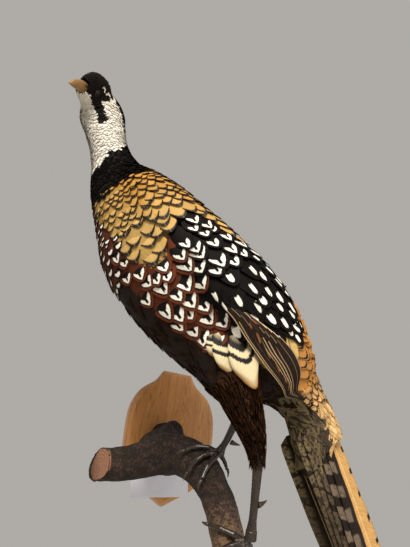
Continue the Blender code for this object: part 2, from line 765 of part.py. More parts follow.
clear_scene()
build_plaque()
build_card()
build_branch()
build_body()
build_head()
build_wing(1, "left")
build_wing(-1, "right")
trunk_cutter = loft("cut_trunk", body_rings(0.40, 0.97, TRUNK_CLEARANCE), "plume_black")
build_leg(LEFT_LEG, "left", 1, [trunk_cutter])
build_leg(RIGHT_LEG, "right", -1, [trunk_cutter])
discard([trunk_cutter])
build_tail()
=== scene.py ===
"""Looks for a mounted cock Reeves's pheasant on a cut branch and a wall shield.

One skin stands in for the bird's flesh, and rows of vane-shaped feathers lie over it from the bill
to the tail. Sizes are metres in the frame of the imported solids: +Z is up, the wall is y = 0 and the
bird's left side faces the room (-Y).
"""
import math

import bpy
import numpy as np
from bpy.props import FloatProperty, FloatVectorProperty, PointerProperty
from mathutils import Matrix, Vector
from mathutils import noise as patterns
from mathutils.bvhtree import BVHTree


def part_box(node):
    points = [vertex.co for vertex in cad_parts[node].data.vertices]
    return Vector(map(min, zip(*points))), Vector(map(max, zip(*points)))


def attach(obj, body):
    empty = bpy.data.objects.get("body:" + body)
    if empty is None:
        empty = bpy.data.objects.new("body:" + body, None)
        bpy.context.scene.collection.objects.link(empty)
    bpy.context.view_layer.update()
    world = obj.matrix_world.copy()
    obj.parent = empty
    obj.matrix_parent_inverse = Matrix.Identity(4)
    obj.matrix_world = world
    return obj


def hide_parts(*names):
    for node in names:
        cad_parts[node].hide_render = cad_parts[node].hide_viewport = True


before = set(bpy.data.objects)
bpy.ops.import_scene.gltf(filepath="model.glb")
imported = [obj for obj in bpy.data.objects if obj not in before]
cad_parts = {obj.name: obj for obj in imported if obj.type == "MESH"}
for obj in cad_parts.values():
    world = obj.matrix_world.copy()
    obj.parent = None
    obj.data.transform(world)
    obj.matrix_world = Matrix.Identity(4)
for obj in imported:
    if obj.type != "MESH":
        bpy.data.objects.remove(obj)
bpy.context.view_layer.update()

bl_info = {
    "name": "Mounted pheasant",
    "version": (1, 0, 0),
    "blender": (4, 5, 0),
    "location": "3D View > Sidebar > Pheasant",
    "description": "Skin, feathers, bare parts, branch and shield of a mounted cock pheasant",
    "category": "Object",
}

SIDES = ((1, "left"), (-1, "right"))

# ---- stage: the camera's place, its right, down and forward axes, and its focal length as a share of
# the frame's height; the floor's height
CAMERA_PLACE = (-0.1995, -0.68, -0.1184)
CAMERA_AXES = ((0.924, -0.3738, 0.0806), (0.2592, 0.4576, -0.8505), (0.281, 0.8068, 0.5197))
CAMERA_LENS = 0.751371
FLOOR_HEIGHT = -1.30

# ---- surfaces: how far they are swollen to bridge hollows, how coarsely they are remade, how far
# outside the bird a search for its surface starts, and how far off the form a root may lie
FORM_SWELL, SKIN_SWELL, BRANCH_SWELL = 0.0060, 0.0018, 0.0050
BODY_VOXEL, BRANCH_VOXEL, FOOT_VOXEL = 0.0026, 0.0014, 0.0008
RAY_REACH, STRAY_REACH = 0.060, 0.012

# ---- bird: midplane, then x, z, back, belly, side of each section from the neck to the tail -----
MIDPLANE = -0.230
SECTIONS = np.array((
    (-0.2430, 0.4140, 0.033, 0.024, 0.023),
    (-0.2330, 0.3960, 0.035, 0.032, 0.027),
    (-0.2240, 0.3760, 0.033, 0.032, 0.029),
    (-0.2110, 0.3370, 0.029, 0.025, 0.027),
    (-0.1910, 0.3020, 0.029, 0.037, 0.033),
    (-0.1650, 0.2650, 0.036, 0.058, 0.046),
    (-0.1290, 0.2280, 0.054, 0.082, 0.063),
    (-0.0960, 0.1900, 0.070, 0.094, 0.074),
    (-0.0540, 0.1530, 0.080, 0.096, 0.078),
    (-0.0080, 0.1130, 0.082, 0.089, 0.074),
    (0.0350, 0.0780, 0.069, 0.073, 0.060),
    (0.0760, 0.0540, 0.046, 0.048, 0.042),
    (0.1060, 0.0260, 0.034, 0.036, 0.022),
))
TAIL_SHARE = 0.985  # past here on the spine the plumage follows the tail
TRUNK_NODES = ("neck_white", "neck_collar", "mantle_breast", "flanks_back", "belly_rump",
               "tail_coverts", "head")
THIGH_NODES = ("thigh_left", "thigh_right")
WING_NODES = ("wing_left", "wing_right")
SHANK_NODES = ("tarsus_left", "tarsus_right")
BRANCH_NODES = ("branch_arm", "branch_bend", "branch_stem", "branch_stub")
TAIL_NODES = tuple("tail_%s_%d" % (word, n) for word in ("left", "right") for n in range(1, 6))

# ---- head: u is the distance behind the bill's tip ----------------------------------------------
BILL_TIP = np.array((-0.2775, -0.2925, 0.3665))
HEAD_YAW, HEAD_PITCH, HEAD_ROLL = (math.radians(a) for a in (53.0, -34.0, -35.0))
HEAD_SCALE = 1.06
EYE_U, EYE_ACROSS, EYE_UP, EYE_RADIUS = 0.0425, 0.0110, 0.0045, 0.0062
HEAD_SECTIONS = np.array((  # u, height above the axis, depth below it, half width
    (0.0225, 0.0145, 0.0076, 0.0088),
    (0.0280, 0.0222, 0.0100, 0.0112),
    (0.0350, 0.0275, 0.0138, 0.0138),
    (0.0440, 0.0302, 0.0175, 0.0160),
    (0.0540, 0.0302, 0.0212, 0.0180),
    (0.0630, 0.0298, 0.0232, 0.0187),
    (0.0710, 0.0262, 0.0208, 0.0168),
    (0.0770, 0.0190, 0.0145, 0.0120),
    (0.0800, 0.0110, 0.0070, 0.0060),
))

# ---- folded wing: share along it, lower edge, upper edge, bulge ---------------------------------
WING_START, WING_END, WING_CLEARANCE, WING_RIM, WING_BULGE = 0.385, 0.965, 0.0034, 0.0012, 0.0085
WING_TIP_SPREAD = 0.026
WING_EDGES = np.array((
    (0.00, -0.004, 0.006, 0.15),
    (0.08, -0.026, 0.034, 0.70),
    (0.22, -0.042, 0.054, 1.00),
    (0.45, -0.047, 0.060, 1.00),
    (0.65, -0.046, 0.050, 0.85),
    (0.82, -0.043, 0.026, 0.60),
    (0.94, -0.040, -0.004, 0.40),
    (1.00, -0.034, -0.024, 0.15),
))

# ---- legs: x, y, z, radius from inside the belly to the foot ------------------------------------
LEGS = {
    "left": np.array((
        (-0.024, -0.256, 0.062, 0.036), (-0.006, -0.266, 0.018, 0.0265),
        (0.011, -0.267, -0.022, 0.0165), (0.0225, -0.264, -0.054, 0.0088),
        (0.0275, -0.251, -0.090, 0.0062), (0.0300, -0.240, -0.119, 0.0060),
        (0.0305, -0.2365, -0.128, 0.0066))),
    "right": np.array((
        (-0.022, -0.204, 0.072, 0.034), (0.004, -0.202, 0.042, 0.0260),
        (0.020, -0.202, 0.022, 0.0160), (0.0290, -0.200, 0.004, 0.0090),
        (0.0235, -0.188, -0.022, 0.0062), (0.0175, -0.1795, -0.038, 0.0060),
        (0.0160, -0.1775, -0.0435, 0.0066))),
}
HOCK_SHARE, ANKLE_SHARE = 3 / 6, 5 / 6
LEG_PLANE = (0.23, 0.95, 0.21)  # both legs bend about this direction

# ---- tail: length, width, distance down the slope and depth under the ridge of each pair --------
TAIL_ROOT = np.array((0.1115, MIDPLANE, 0.0160))
TAIL_SLANT, TAIL_ROOF, TAIL_SAG = math.radians(22.0), math.radians(70.0), 0.075
TAIL_PAIRS = (
    (1.000, 0.052, 0.022, 0.0),
    (0.720, 0.048, 0.034, 0.0027),
    (0.480, 0.044, 0.044, 0.0054),
    (0.330, 0.042, 0.054, 0.0081),
    (0.220, 0.040, 0.066, 0.0108),
)
TAIL_ROOT_WIDTH, TAIL_RIDGE_HALF_GAP, TAIL_ROOT_SQUEEZE = 0.026, 0.0046, 0.90
TAIL_CUT = 0.26  # where the outer form ends along the tail
QUILL_THICKNESS, TAIL_THICKNESS = 0.0005, 0.0007

# ---- branch: its sawn face, and the swelling where the stub grows out of it ---------------------
SAWN_FACE = Vector((-0.1125, -0.082, -0.063))
SAWN_NORMAL = Vector((-0.92, -0.39, 0.0)).normalized()
KNOT_PLACE, KNOT_SIZE, KNOT_TURN = (-0.020, -0.072, -0.034), (0.046, 0.030, 0.031), 0.25


def linear(code):
    """An sRGB hex colour as linear red, green and blue."""
    parts = [int(code[i:i + 2], 16) / 255 for i in (0, 2, 4)]
    return tuple(p / 12.92 if p <= 0.04045 else ((p + 0.055) / 1.055) ** 2.4 for p in parts)


def colour(name):
    """A colour of the settings, in linear light."""
    return tuple(getattr(bpy.context.scene.pheasant_colours, name))


# ---- curves and surfaces of the bird ------------------------------------------------------------
def unit(v):
    v = np.asarray(v, float)
    return v / np.maximum(np.linalg.norm(v, axis=-1, keepdims=True), 1e-12)


def smooth_table(table, share):
    """Rows at these shares (0 to 1) of a table whose rows are evenly spaced, on a smooth curve."""
    last = len(table) - 1
    place = np.clip(np.asarray(share, float), 0.0, 1.0) * last
    i = np.minimum(place.astype(int), last - 1)
    t = (place - i)[..., None]
    padded = np.vstack([2 * table[0] - table[1], table, 2 * table[-1] - table[-2]])
    p0, p1, p2, p3 = (padded[i + k] for k in range(4))
    return 0.5 * (2 * p1 + (p2 - p0) * t + (2 * p0 - 5 * p1 + 4 * p2 - p3) * t ** 2
                  + (3 * p1 - p0 - 3 * p2 + p3) * t ** 3)


def spine_frame(share):
    """Centre, direction towards the tail, dorsal direction, and back, belly and side reach."""
    row = smooth_table(SECTIONS, share)
    ahead = smooth_table(SECTIONS, np.minimum(np.asarray(share) + 0.004, 1.0))
    behind = smooth_table(SECTIONS, np.maximum(np.asarray(share) - 0.004, 0.0))
    zero = np.zeros_like(row[..., 0])
    step = ahead - behind
    along = unit(np.stack([step[..., 0], zero, step[..., 1]], -1))
    dorsal = np.stack([-along[..., 2], zero, along[..., 0]], -1)
    centre = np.stack([row[..., 0], zero + MIDPLANE, row[..., 1]], -1)
    return centre, along, dorsal, row[..., 2], row[..., 3], row[..., 4]


def body_point(share, angle, grow=0.0):
    """A point of the plumage: angle 0 is the bird's left side and a quarter turn is its back."""
    centre, _, dorsal, back, belly, side = spine_frame(share)
    up = np.sin(angle)
    height = np.where(up > 0, back, belly) + grow
    left = np.array((0.0, -1.0, 0.0))
    return centre + dorsal * (height * up)[..., None] + left * ((side + grow) * np.cos(angle))[..., None]


def body_place(points):
    """Share along the spine and rise above the side, in degrees, of points on the bird."""
    shares = np.linspace(0.0, 1.0, 241)
    centre, _, dorsal, back, belly, side = spine_frame(shares)
    flat = points[:, None, [0, 2]] - centre[None][:, :, [0, 2]]
    nearest = np.argmin((flat ** 2).sum(-1), axis=1)
    away = points - centre[nearest]
    up = (away * dorsal[nearest]).sum(-1)
    up = up / np.where(up > 0, back[nearest], belly[nearest])
    out = np.abs(away[:, 1]) / side[nearest]
    return shares[nearest], np.degrees(np.arctan2(up, out))


def head_axes():
    """The head's directions towards the bill, to its left and to its crown."""
    ahead = np.array((-math.cos(HEAD_PITCH) * math.cos(HEAD_YAW),
                      -math.cos(HEAD_PITCH) * math.sin(HEAD_YAW), math.sin(HEAD_PITCH)))
    level = np.array((math.sin(HEAD_YAW), -math.cos(HEAD_YAW), 0.0))
    left = level * math.cos(HEAD_ROLL) + np.cross(ahead, level) * math.sin(HEAD_ROLL)
    return ahead, left, np.cross(ahead, left)


def head_point(u, across, above):
    """A point u behind the bill's tip, to the left and above, from the head's own lengths."""
    ahead, left, up = head_axes()
    u, across, above = (np.asarray(v, float)[..., None] for v in (u, across, above))
    return BILL_TIP + HEAD_SCALE * (left * across + up * above - ahead * u)


def head_place(points):
    """Distance behind the bill's tip, to the left and above, in the head's own lengths."""
    ahead, left, up = head_axes()
    away = (points - BILL_TIP) / HEAD_SCALE
    return -away @ ahead, away @ left, away @ up


def head_reach(points):
    """1 on the head's surface, less inside it; large where the points lie behind the head."""
    u, left, above = head_place(points)
    top, bottom, half = (np.interp(u, HEAD_SECTIONS[:, 0], HEAD_SECTIONS[:, c]) for c in (1, 2, 3))
    reach = np.hypot(left / half, above / np.where(above > 0, top, bottom))
    return np.where(u < HEAD_SECTIONS[-1, 0] + 0.001, reach, 9.0)


def wing_point(side, along_share, over, sink=0.0):
    """A point of the folded wing's outer face: over runs from its lower to its upper edge."""
    along_share, over = np.broadcast_arrays(np.asarray(along_share, float), np.asarray(over, float))
    share = WING_START + (WING_END - WING_START) * along_share
    centre, _, dorsal, back, belly, half = spine_frame(share)
    low, high, bulge = (np.interp(along_share, WING_EDGES[:, 0], WING_EDGES[:, c]) for c in (1, 2, 3))
    rise = low + (high - low) * over
    lift = WING_RIM + WING_BULGE * bulge * np.sin(np.pi * np.clip(over, 0.0, 1.0)) ** 0.8 - sink
    spread = WING_TIP_SPREAD * np.maximum(0.0, along_share - 0.45) / 0.55
    tall = np.where(rise > 0, back, belly) + spread * 1.3 + WING_CLEARANCE + lift
    wide = half + spread + WING_CLEARANCE + lift
    sine = np.clip(rise / tall, -0.97, 0.97)
    out = np.array((0.0, -side, 0.0))
    return centre + dorsal * rise[..., None] + out * (wide * np.sqrt(1 - sine ** 2))[..., None]


def tail_line(distance):
    """Points on the sagging middle line of the tail."""
    distance = np.asarray(distance, float)[..., None]
    slant = np.array((math.sin(TAIL_SLANT), 0.0, -math.cos(TAIL_SLANT)))
    return TAIL_ROOT + slant * distance - np.array((TAIL_SAG, 0.0, 0.35 * TAIL_SAG)) * distance ** 2


def tail_point(side, distance, down, under):
    """A point of the folded tail: down is along the side's slope, under is beneath its surface."""
    along = unit(tail_line(distance + 0.002) - tail_line(distance - 0.002))
    dorsal = np.stack([-along[..., 2], 0 * along[..., 0], along[..., 0]], -1)
    out = np.array((0.0, -side, 0.0))
    slope = -dorsal * math.sin(TAIL_ROOF) + out * math.cos(TAIL_ROOF)
    inner = -dorsal * math.cos(TAIL_ROOF) - out * math.sin(TAIL_ROOF)
    crown = tail_line(distance) + dorsal * 0.030
    return crown + out * TAIL_RIDGE_HALF_GAP + slope * down[..., None] + inner * under[..., None]


# ---- markings: one set of rules for skin and feathers -------------------------------------------
KINDS = ("head", "neck", "collar", "breast", "mantle", "scapular", "covert", "flank", "pale",
         "back", "rump", "belly", "vent", "root")
GROUNDS = {"head": "white", "neck": "white", "collar": "black", "breast": "chestnut",
           "mantle": "gold", "scapular": "black", "covert": "black", "flank": "chestnut",
           "pale": "pale_gold", "back": "gold", "rump": "orange", "belly": "dark", "vent": "dark",
           "root": "tail_olive"}


def chain_distance(points, chain):
    """Distance from points to a chain of x, y, z, radius beads, less the radius there."""
    best = np.full(len(points), 1.0)
    chain = np.array(chain)
    for a, b in zip(chain[:-1], chain[1:]):
        line = b[:3] - a[:3]
        t = np.clip(((points - a[:3]) @ line) / (line @ line), 0, 1)
        gap = np.linalg.norm(points - (a[:3] + t[:, None] * line), axis=1) - (a[3] + t * (b[3] - a[3]))
        best = np.minimum(best, gap)
    return best


EAR_PATCH = ((0.036, 0.0140, 0.000, 0.0055), (0.043, 0.0165, -0.004, 0.0070),
             (0.046, 0.0230, -0.0105, 0.0072), (0.0425, 0.0340, -0.0190, 0.0066))
NAPE_BAND = ((0.042, 0.0160, 0.0060, 0.0070), (0.056, 0.0165, 0.0145, 0.0075),
             (0.066, 0.0150, 0.0185, 0.0095))
FLECKS = ((0.041, 0.0128, 0.0168, 0.0015), (0.0495, 0.0150, 0.0140, 0.0017),
          (0.0555, 0.0165, 0.0123, 0.0020), (0.0605, 0.0165, 0.0130, 0.0018))


def head_marking(points, noise):
    """How black the head and the top of the neck are, from 0 to 1, at these points."""
    share, rise = body_place(points)
    u, left, above = head_place(points)
    local = np.stack([u, np.abs(left), above], 1)
    turn = np.degrees(np.arctan2(above, np.abs(left)))
    wobble = noise * 0.0010
    mask = (u < 0.062) & (turn > np.interp(u, (0.022, 0.030, 0.040, 0.062), (-14, -10, -2, 14)))
    mask |= (u < 0.046) & (above > 0.004)
    # On the right side the black comes down past the ear to the throat.
    mask |= (left < 0) & (u < 0.060) & (turn > np.interp(u, (0.020, 0.030, 0.060), (-62, -44, -30)))
    nape_low = np.interp(share, (0.0, 0.10, 0.16, 0.22), (36, 42, 52, 84)) + 3 * noise
    nape = (share < 0.22) & (rise > nape_low)
    crown = (u > 0.060) & (u < 0.078) & (turn > 66) & (np.abs(left) < 0.006)
    black = mask | nape | (chain_distance(local, EAR_PATCH) < wobble)
    black |= chain_distance(local, NAPE_BAND) < wobble
    white = crown | ((chain_distance(local, FLECKS) < 0) & (noise > -0.2) & (left > 0))
    return (black & ~white).astype(float)


def kinds_at(points, noise):
    """The kind of plumage, as an index into KINDS, at each point of the bird's outside."""
    share, rise = body_place(points)
    u, _, _ = head_place(points)
    on = np.interp
    ragged = noise * 0.010
    neck_end = on(rise, (-90, -54, -30, 0, 67, 90), (0.335, 0.350, 0.320, 0.310, 0.275, 0.270))
    gold_end = on(rise, (-70, -57, -39, -16, 0, 12, 34, 60, 90),
                  (0.47, 0.59, 0.62, 0.585, 0.56, 0.60, 0.67, 0.70, 0.70)) + 1.2 * ragged
    gold_low = on(share, (0.42, 0.47, 0.52, 0.57, 0.62), (-88, -78, -62, -56, -48)) + 4 * noise
    flank_low = on(share, (0.55, 0.62, 0.70, 0.735, 0.765, 0.775, 0.79),
                   (-68, -72, -64, -58, -56, -50, -42))
    covert_low = on(share, (0.56, 0.60, 0.70, 0.80, 0.90), (-8, -17, -25, -30, -30))
    covert_end = on(rise, (-31, -16, -8, 0, 13, 23, 49), (0.765, 0.805, 0.83, 0.84, 0.83, 0.81, 0.80))
    kind = np.full(len(points), KINDS.index("belly"))

    def put(name, where):
        kind[where] = KINDS.index(name)

    put("breast", (share < 0.62) & (rise < -50))
    put("belly", (share >= 0.60) & (rise < flank_low))
    put("flank", (share >= 0.55) & (share < 0.785) & (rise >= flank_low) & (rise < covert_low + 4))
    put("covert", (share >= 0.56) & (rise >= covert_low) & (rise < 40) & (share < covert_end + ragged))
    put("scapular", (share >= 0.56) & (share < 0.69) & (rise >= covert_low) & (rise < 34))
    put("back", (rise >= on(share, (0.6, 0.8, 0.9), (34, 40, 30))) & (share >= 0.6))
    past = share >= covert_end + ragged
    put("rump", past & (rise >= on(share, (0.80, 0.86, 0.92, 1.0), (-2, -14, -26, -20))))
    put("pale", past & (rise > -34) & (rise < on(share, (0.81, 0.86, 0.885), (4, -4, -34))))
    put("rump", (rise >= on(share, (0.76, 0.80), (50, 26))) & (share >= 0.76))
    put("mantle", (share >= 0.40) & (share < gold_end) & (rise > gold_low))
    put("vent", (share > 0.84) & (rise < on(share, (0.84, 0.95, 1.0), (-36, -30, -22))))
    put("root", (share > 0.945) & (rise < -34))
    put("collar", share < 0.425 + ragged)
    put("neck", share < neck_end + ragged)
    put("head", (u < 0.082) & (share < 0.16))
    return kind


def ground_colours(points, kinds, noise):
    """The plain colour under the markings of each feather or skin point, in linear light."""
    share, rise = body_place(points)

    def where(test):
        return test.astype(float)[:, None]

    def lay(under, name, amount):
        return under * (1 - amount) + np.array(colour(name)) * amount

    made = np.array([colour(GROUNDS[kind]) for kind in KINDS])[kinds]
    pale = np.interp(share, (0.46, 0.60), (0.0, 1.0)) + (-10 - rise) / 70 + noise * 0.25
    pale = np.clip(pale, 0, 1)[:, None] * 0.8
    made = lay(made, "pale_gold", pale * where(kinds == KINDS.index("mantle")))
    late = np.clip((share - 0.95) / 0.05 + 0.2 * noise, 0, 1)[:, None]
    made = lay(made, "tail_gold", late * where(kinds == KINDS.index("rump")))
    upper = where(kinds <= KINDS.index("neck"))
    dark = head_marking(points, noise)[:, None] * upper
    made = lay(made, "black", dark)
    throat = np.clip((0.20 - share) / 0.2, 0, 1)[:, None] * upper
    return lay(made, "cream_white", 0.5 * throat * (dark < 0.5))


# ---- helpers ------------------------------------------------------------------------------------
def deselect():
    if bpy.context.object and bpy.context.object.mode != "OBJECT":
        bpy.ops.object.mode_set(mode="OBJECT")
    bpy.ops.object.select_all(action="DESELECT")


def activate(obj):
    deselect()
    obj.select_set(True)
    bpy.context.view_layer.objects.active = obj


def link(name, data):
    """A new object in the scene."""
    made = bpy.data.objects.new(name, data)
    bpy.context.scene.collection.objects.link(made)
    return made


def edit_all(obj, operator, **values):
    """Runs one mesh operator on the whole of an object in edit mode."""
    activate(obj)
    bpy.ops.object.mode_set(mode="EDIT")
    bpy.ops.mesh.select_all(action="SELECT")
    operator(**values)
    bpy.ops.object.mode_set(mode="OBJECT")


def copy_nodes(names, made_name):
    """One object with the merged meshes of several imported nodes."""
    copies = []
    for name in names:
        copies.append(link(made_name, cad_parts[name].data.copy()))
        copies[-1].data.materials.clear()
    made = join(copies)
    made.name = made_name
    edit_all(made, bpy.ops.mesh.remove_doubles, threshold=0.00001)
    return made


def join(objects):
    """Joins objects into the last of them."""
    deselect()
    for obj in objects:
        obj.select_set(True)
    bpy.context.view_layer.objects.active = objects[-1]
    if len(objects) > 1:
        bpy.ops.object.join()
    return bpy.context.view_layer.objects.active


def swell(obj, distance):
    """Pushes every point out along its normal."""
    edit_all(obj, bpy.ops.transform.shrink_fatten, value=distance)


def apply_modifier(obj, kind, **values):
    """Adds a modifier with these settings and makes its result the mesh."""
    activate(obj)
    modifier = obj.modifiers.new(kind.lower(), kind)
    for key, value in values.items():
        setattr(modifier, key, value)
    bpy.ops.object.modifier_apply(modifier=modifier.name)


def remesh(obj, voxel, rounds):
    """Makes one even closed surface of an object, and smooths it."""
    apply_modifier(obj, "REMESH", mode="VOXEL", voxel_size=voxel)
    smooth(obj, 0.5, rounds)


def smooth(obj, factor, rounds, group=""):
    """Smooths an object, or only the points of one vertex group, by their weights."""
    apply_modifier(obj, "SMOOTH", factor=factor, iterations=rounds, vertex_group=group)


def smooth_shade(obj, degrees=180.0):
    """Shades smoothly, except over edges sharper than the given angle."""
    activate(obj)
    if degrees >= 180.0:
        bpy.ops.object.shade_smooth()
    else:
        bpy.ops.object.shade_smooth_by_angle(angle=math.radians(degrees))


def points_of(obj, what="co"):
    """The places of an object's points, or their normals."""
    return np.array([getattr(v, what) for v in obj.data.vertices])


def move_points(obj, points):
    obj.data.vertices.foreach_set("co", points.astype(np.float32).ravel())
    obj.data.update()


def mark(mesh, name, values):
    """Stores a number or a linear colour at each point, for the materials to read."""
    values = np.asarray(values, np.float32)
    if values.ndim == 1:
        mesh.attributes.new(name, "FLOAT", "POINT").data.foreach_set("value", values)
    else:
        full = np.concatenate([values, np.ones((len(values), 1), np.float32)], 1)
        mesh.attributes.new(name, "FLOAT_COLOR", "POINT").data.foreach_set("color", full.ravel())


def settle(name):
    """Names the piece just added and moves its place into its mesh."""
    made = bpy.context.object
    made.name = name
    bpy.ops.object.transform_apply(location=True, rotation=True, scale=True)
    return made


def dress(node, material):
    """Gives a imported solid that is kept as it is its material."""
    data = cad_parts[node].data
    data.materials.clear()
    data.materials.append(material)


def tree_of(obj):
    """A search tree of an object's surface; the object itself is removed."""
    tree = BVHTree.FromPolygons(points_of(obj).tolist(), [tuple(p.vertices) for p in obj.data.polygons])
    bpy.data.objects.remove(obj, do_unlink=True)
    return tree


def finish_piece(obj, material, replaced=()):
    """Gives a piece its material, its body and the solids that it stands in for."""
    obj.data.materials.clear()
    obj.data.materials.append(material)
    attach(obj, "root")
    if replaced:
        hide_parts(*replaced)


def add(tree, kind, *inputs, out=0, sockets=None, **values):
    """Adds a shader node: inputs by place, more sockets by name or number, then its settings."""
    made = tree.nodes.new("ShaderNode" + kind)
    for key, value in values.items():
        setattr(made, key, value)
    wanted = dict(enumerate(inputs))
    wanted.update(sockets or {})
    for place, value in wanted.items():
        if isinstance(value, bpy.types.NodeSocket):
            tree.links.new(value, made.inputs[place])
        else:
            made.inputs[place].default_value = value
    return made.outputs[out]


class Look:
    """A Principled material and its node tree; a colour is given by its name in the settings."""

    def __init__(self, name, roughness, specular=0.5, **more):
        self.material = bpy.data.materials.new(name)
        self.material.use_nodes = True
        self.shader = self.material.node_tree.nodes["Principled BSDF"]
        more.update(Roughness=roughness, Specular_IOR_Level=specular)
        for key, value in more.items():
            self.shader.inputs[key.replace("_", " ")].default_value = value

    def node(self, kind, *inputs, **rest):
        return add(self.material.node_tree, kind, *inputs, **rest)

    def maths(self, operation, *inputs):
        return self.node("Math", *inputs, operation=operation)

    def times(self, a, b):
        return self.maths("MULTIPLY", a, b)

    def plus(self, a, b):
        return self.maths("ADD", a, b)

    def minus(self, a, b):
        return self.maths("SUBTRACT", a, b)

    def times_plus(self, a, b, c):
        return self.maths("MULTIPLY_ADD", a, b, c)

    def place(self):
        return self.node("TexCoord", out=3)

    def point(self, x, y, z):
        return self.node("CombineXYZ", x, y, z)

    def value_of(self, attribute):
        return self.node("Attribute", attribute_name=attribute, out=2)

    def ground(self):
        return self.node("Attribute", attribute_name="Ground")

    def noise(self, place, scale, detail, roughness=0.5):
        return self.node("TexNoise", place,
                         sockets={"Scale": scale, "Detail": detail, "Roughness": roughness})

    def fit(self, value, low, high, at_low, at_high):
        return self.node("MapRange", value, low, high, at_low, at_high)

    def mix(self, amount, under, over):
        """Lays one colour over another: each is a socket or the name of a colour."""
        under, over = ((*colour(c), 1) if isinstance(c, str) else c for c in (under, over))
        return self.node("Mix", amount, sockets={6: under, 7: over}, out=2, data_type="RGBA")

    def ramp(self, value, *stops):
        """A colour ramp from its stops: place, colour's name and alpha, which is 1 if left out."""
        made = self.node("ValToRGB", value)
        elements = made.node.color_ramp.elements
        while len(elements) < len(stops):
            elements.new(0.5)
        for element, (place, name, *alpha) in zip(elements, stops):
            element.position = place
            element.color = (*colour(name), *(alpha or (1.0,)))
        return made

    def vane(self):
        """Places on a feather: along it, across it (-1 to 1), out from its shaft; and its tint."""
        along = self.node("SeparateXYZ", self.node("UVMap", uv_map="Vane"))
        across = self.times_plus(along.node.outputs[1], 2.0, -1.0)
        return along, across, self.maths("ABSOLUTE", across), self.value_of("Tint")

    def brightened(self, value, shade):
        return self.node("HueSaturation", sockets={"Value": value, "Color": shade})

    def finish(self, shade, height, strength, depth):
        """Sets the base colour and a bump, and gives back the material."""
        bump = self.node("Bump", sockets={"Strength": strength, "Distance": depth, "Height": height})
        links = self.material.node_tree.links
        links.new(shade, self.shader.inputs["Base Color"])
        links.new(bump, self.shader.inputs["Normal"])
        return self.material


# ---- feather meshes -----------------------------------------------------------------------------
class Coat:
    """The under-form of the whole bird, which feathers are rooted in and pressed down on."""
    form = None
    rays = None
    thighs = None


def raise_form():
    """One smooth outer form of trunk, head, thighs and wings, kept only as search trees."""
    tail = copy_nodes(TAIL_NODES, "tail_root")
    cut = tail_line(TAIL_CUT)
    edit_all(tail, bpy.ops.mesh.bisect, plane_co=cut, plane_no=tail_line(TAIL_CUT + 0.01) - cut,
             use_fill=True, clear_outer=True)
    form = join([tail, copy_nodes(TRUNK_NODES + THIGH_NODES + WING_NODES + SHANK_NODES, "outer_form")])
    # Swollen and shrunk again, so that the narrow hollows under the wings are bridged.
    swell(form, FORM_SWELL)
    remesh(form, BODY_VOXEL, 16)
    swell(form, -FORM_SWELL)
    smooth(form, 0.5, 6)
    Coat.form = tree_of(form)
    Coat.rays = tree_of(copy_nodes(TRUNK_NODES + WING_NODES, "ray_helper"))
    Coat.thighs = tree_of(copy_nodes(THIGH_NODES, "ray_helper"))


def cast(tree, starts, ends):
    """Where lines from outside to inside first meet a surface; misses keep the start."""
    hits = np.array(starts, float)
    found = np.zeros(len(hits), bool)
    for i, (a, b) in enumerate(zip(starts, ends)):
        way = Vector(b) - Vector(a)
        place = tree.ray_cast(Vector(a), way.normalized(), way.length)[0]
        if place is not None:
            hits[i], found[i] = place, True
    return hits, found


def press(points):
    """The nearest points of the outer form and their outward normals."""
    near = [Coat.form.find_nearest(Vector(p))[:2] for p in points.reshape(-1, 3)]
    return (np.array([n[k] for n in near]).reshape(points.shape) for k in (0, 1))


def vane_profile(t, root_width, widest):
    """Share of full width along a feather: narrow at the root, and full from its widest place on."""
    return root_width + (1 - root_width) * np.sin(np.clip(t / widest, 0, 1) * math.pi / 2)


def grow_vanes(name, feathers, shape, cells, look):
    """Lays feathers over the form as one finished piece.

    feathers: root, lie, length, width, tint and ground arrays. shape: steps, spans, rounding of the
    tip, height from root to tip, cup, pointed, roll and stir. cells: see bake_patches.
    """
    root, lie, length, width, tint, ground = feathers
    wide = (slice(None), None, None)
    tt, ww = np.meshgrid(np.linspace(0.0, 1.0, shape["steps"] + 1),
                         np.linspace(-1.0, 1.0, shape["spans"] + 1), indexing="ij")
    _, normal = press(root)
    lie = unit(lie - normal * (lie * normal).sum(-1, keepdims=True))
    side = np.cross(normal, lie)
    taper = 1 - shape.get("pointed", 0.0) * np.clip((tt - 0.45) / 0.55, 0, 1) ** 2
    reach = length[wide] * tt * (1 - shape["rounding"] * ww ** 2 * tt ** 1.5)
    half = 0.5 * width[wide] * vane_profile(tt, 0.45, 0.55) * taper * ww
    where, up = press(root[wide] + lie[wide] * reach[..., None] + side[wide] * half[..., None])
    height = shape["low"] + (shape["high"] - shape["low"]) * tt
    height = height + shape["cup"] * (0.35 - ww ** 2) * np.sin(np.clip(tt * 1.15, 0, 1) * math.pi / 2)
    roll = (tint[wide] - 0.5) * shape.get("roll", 0.0006) * ww * tt
    stir = (tint[wide] * 7.31 % 1.0 - 0.5) * shape.get("stir", 0.0005) * tt
    made = vane_mesh(name, where + up * (height + roll + stir)[..., None], tint, ground,
                     bake_patches(*cells))
    finish_piece(made, material=plumage(look))


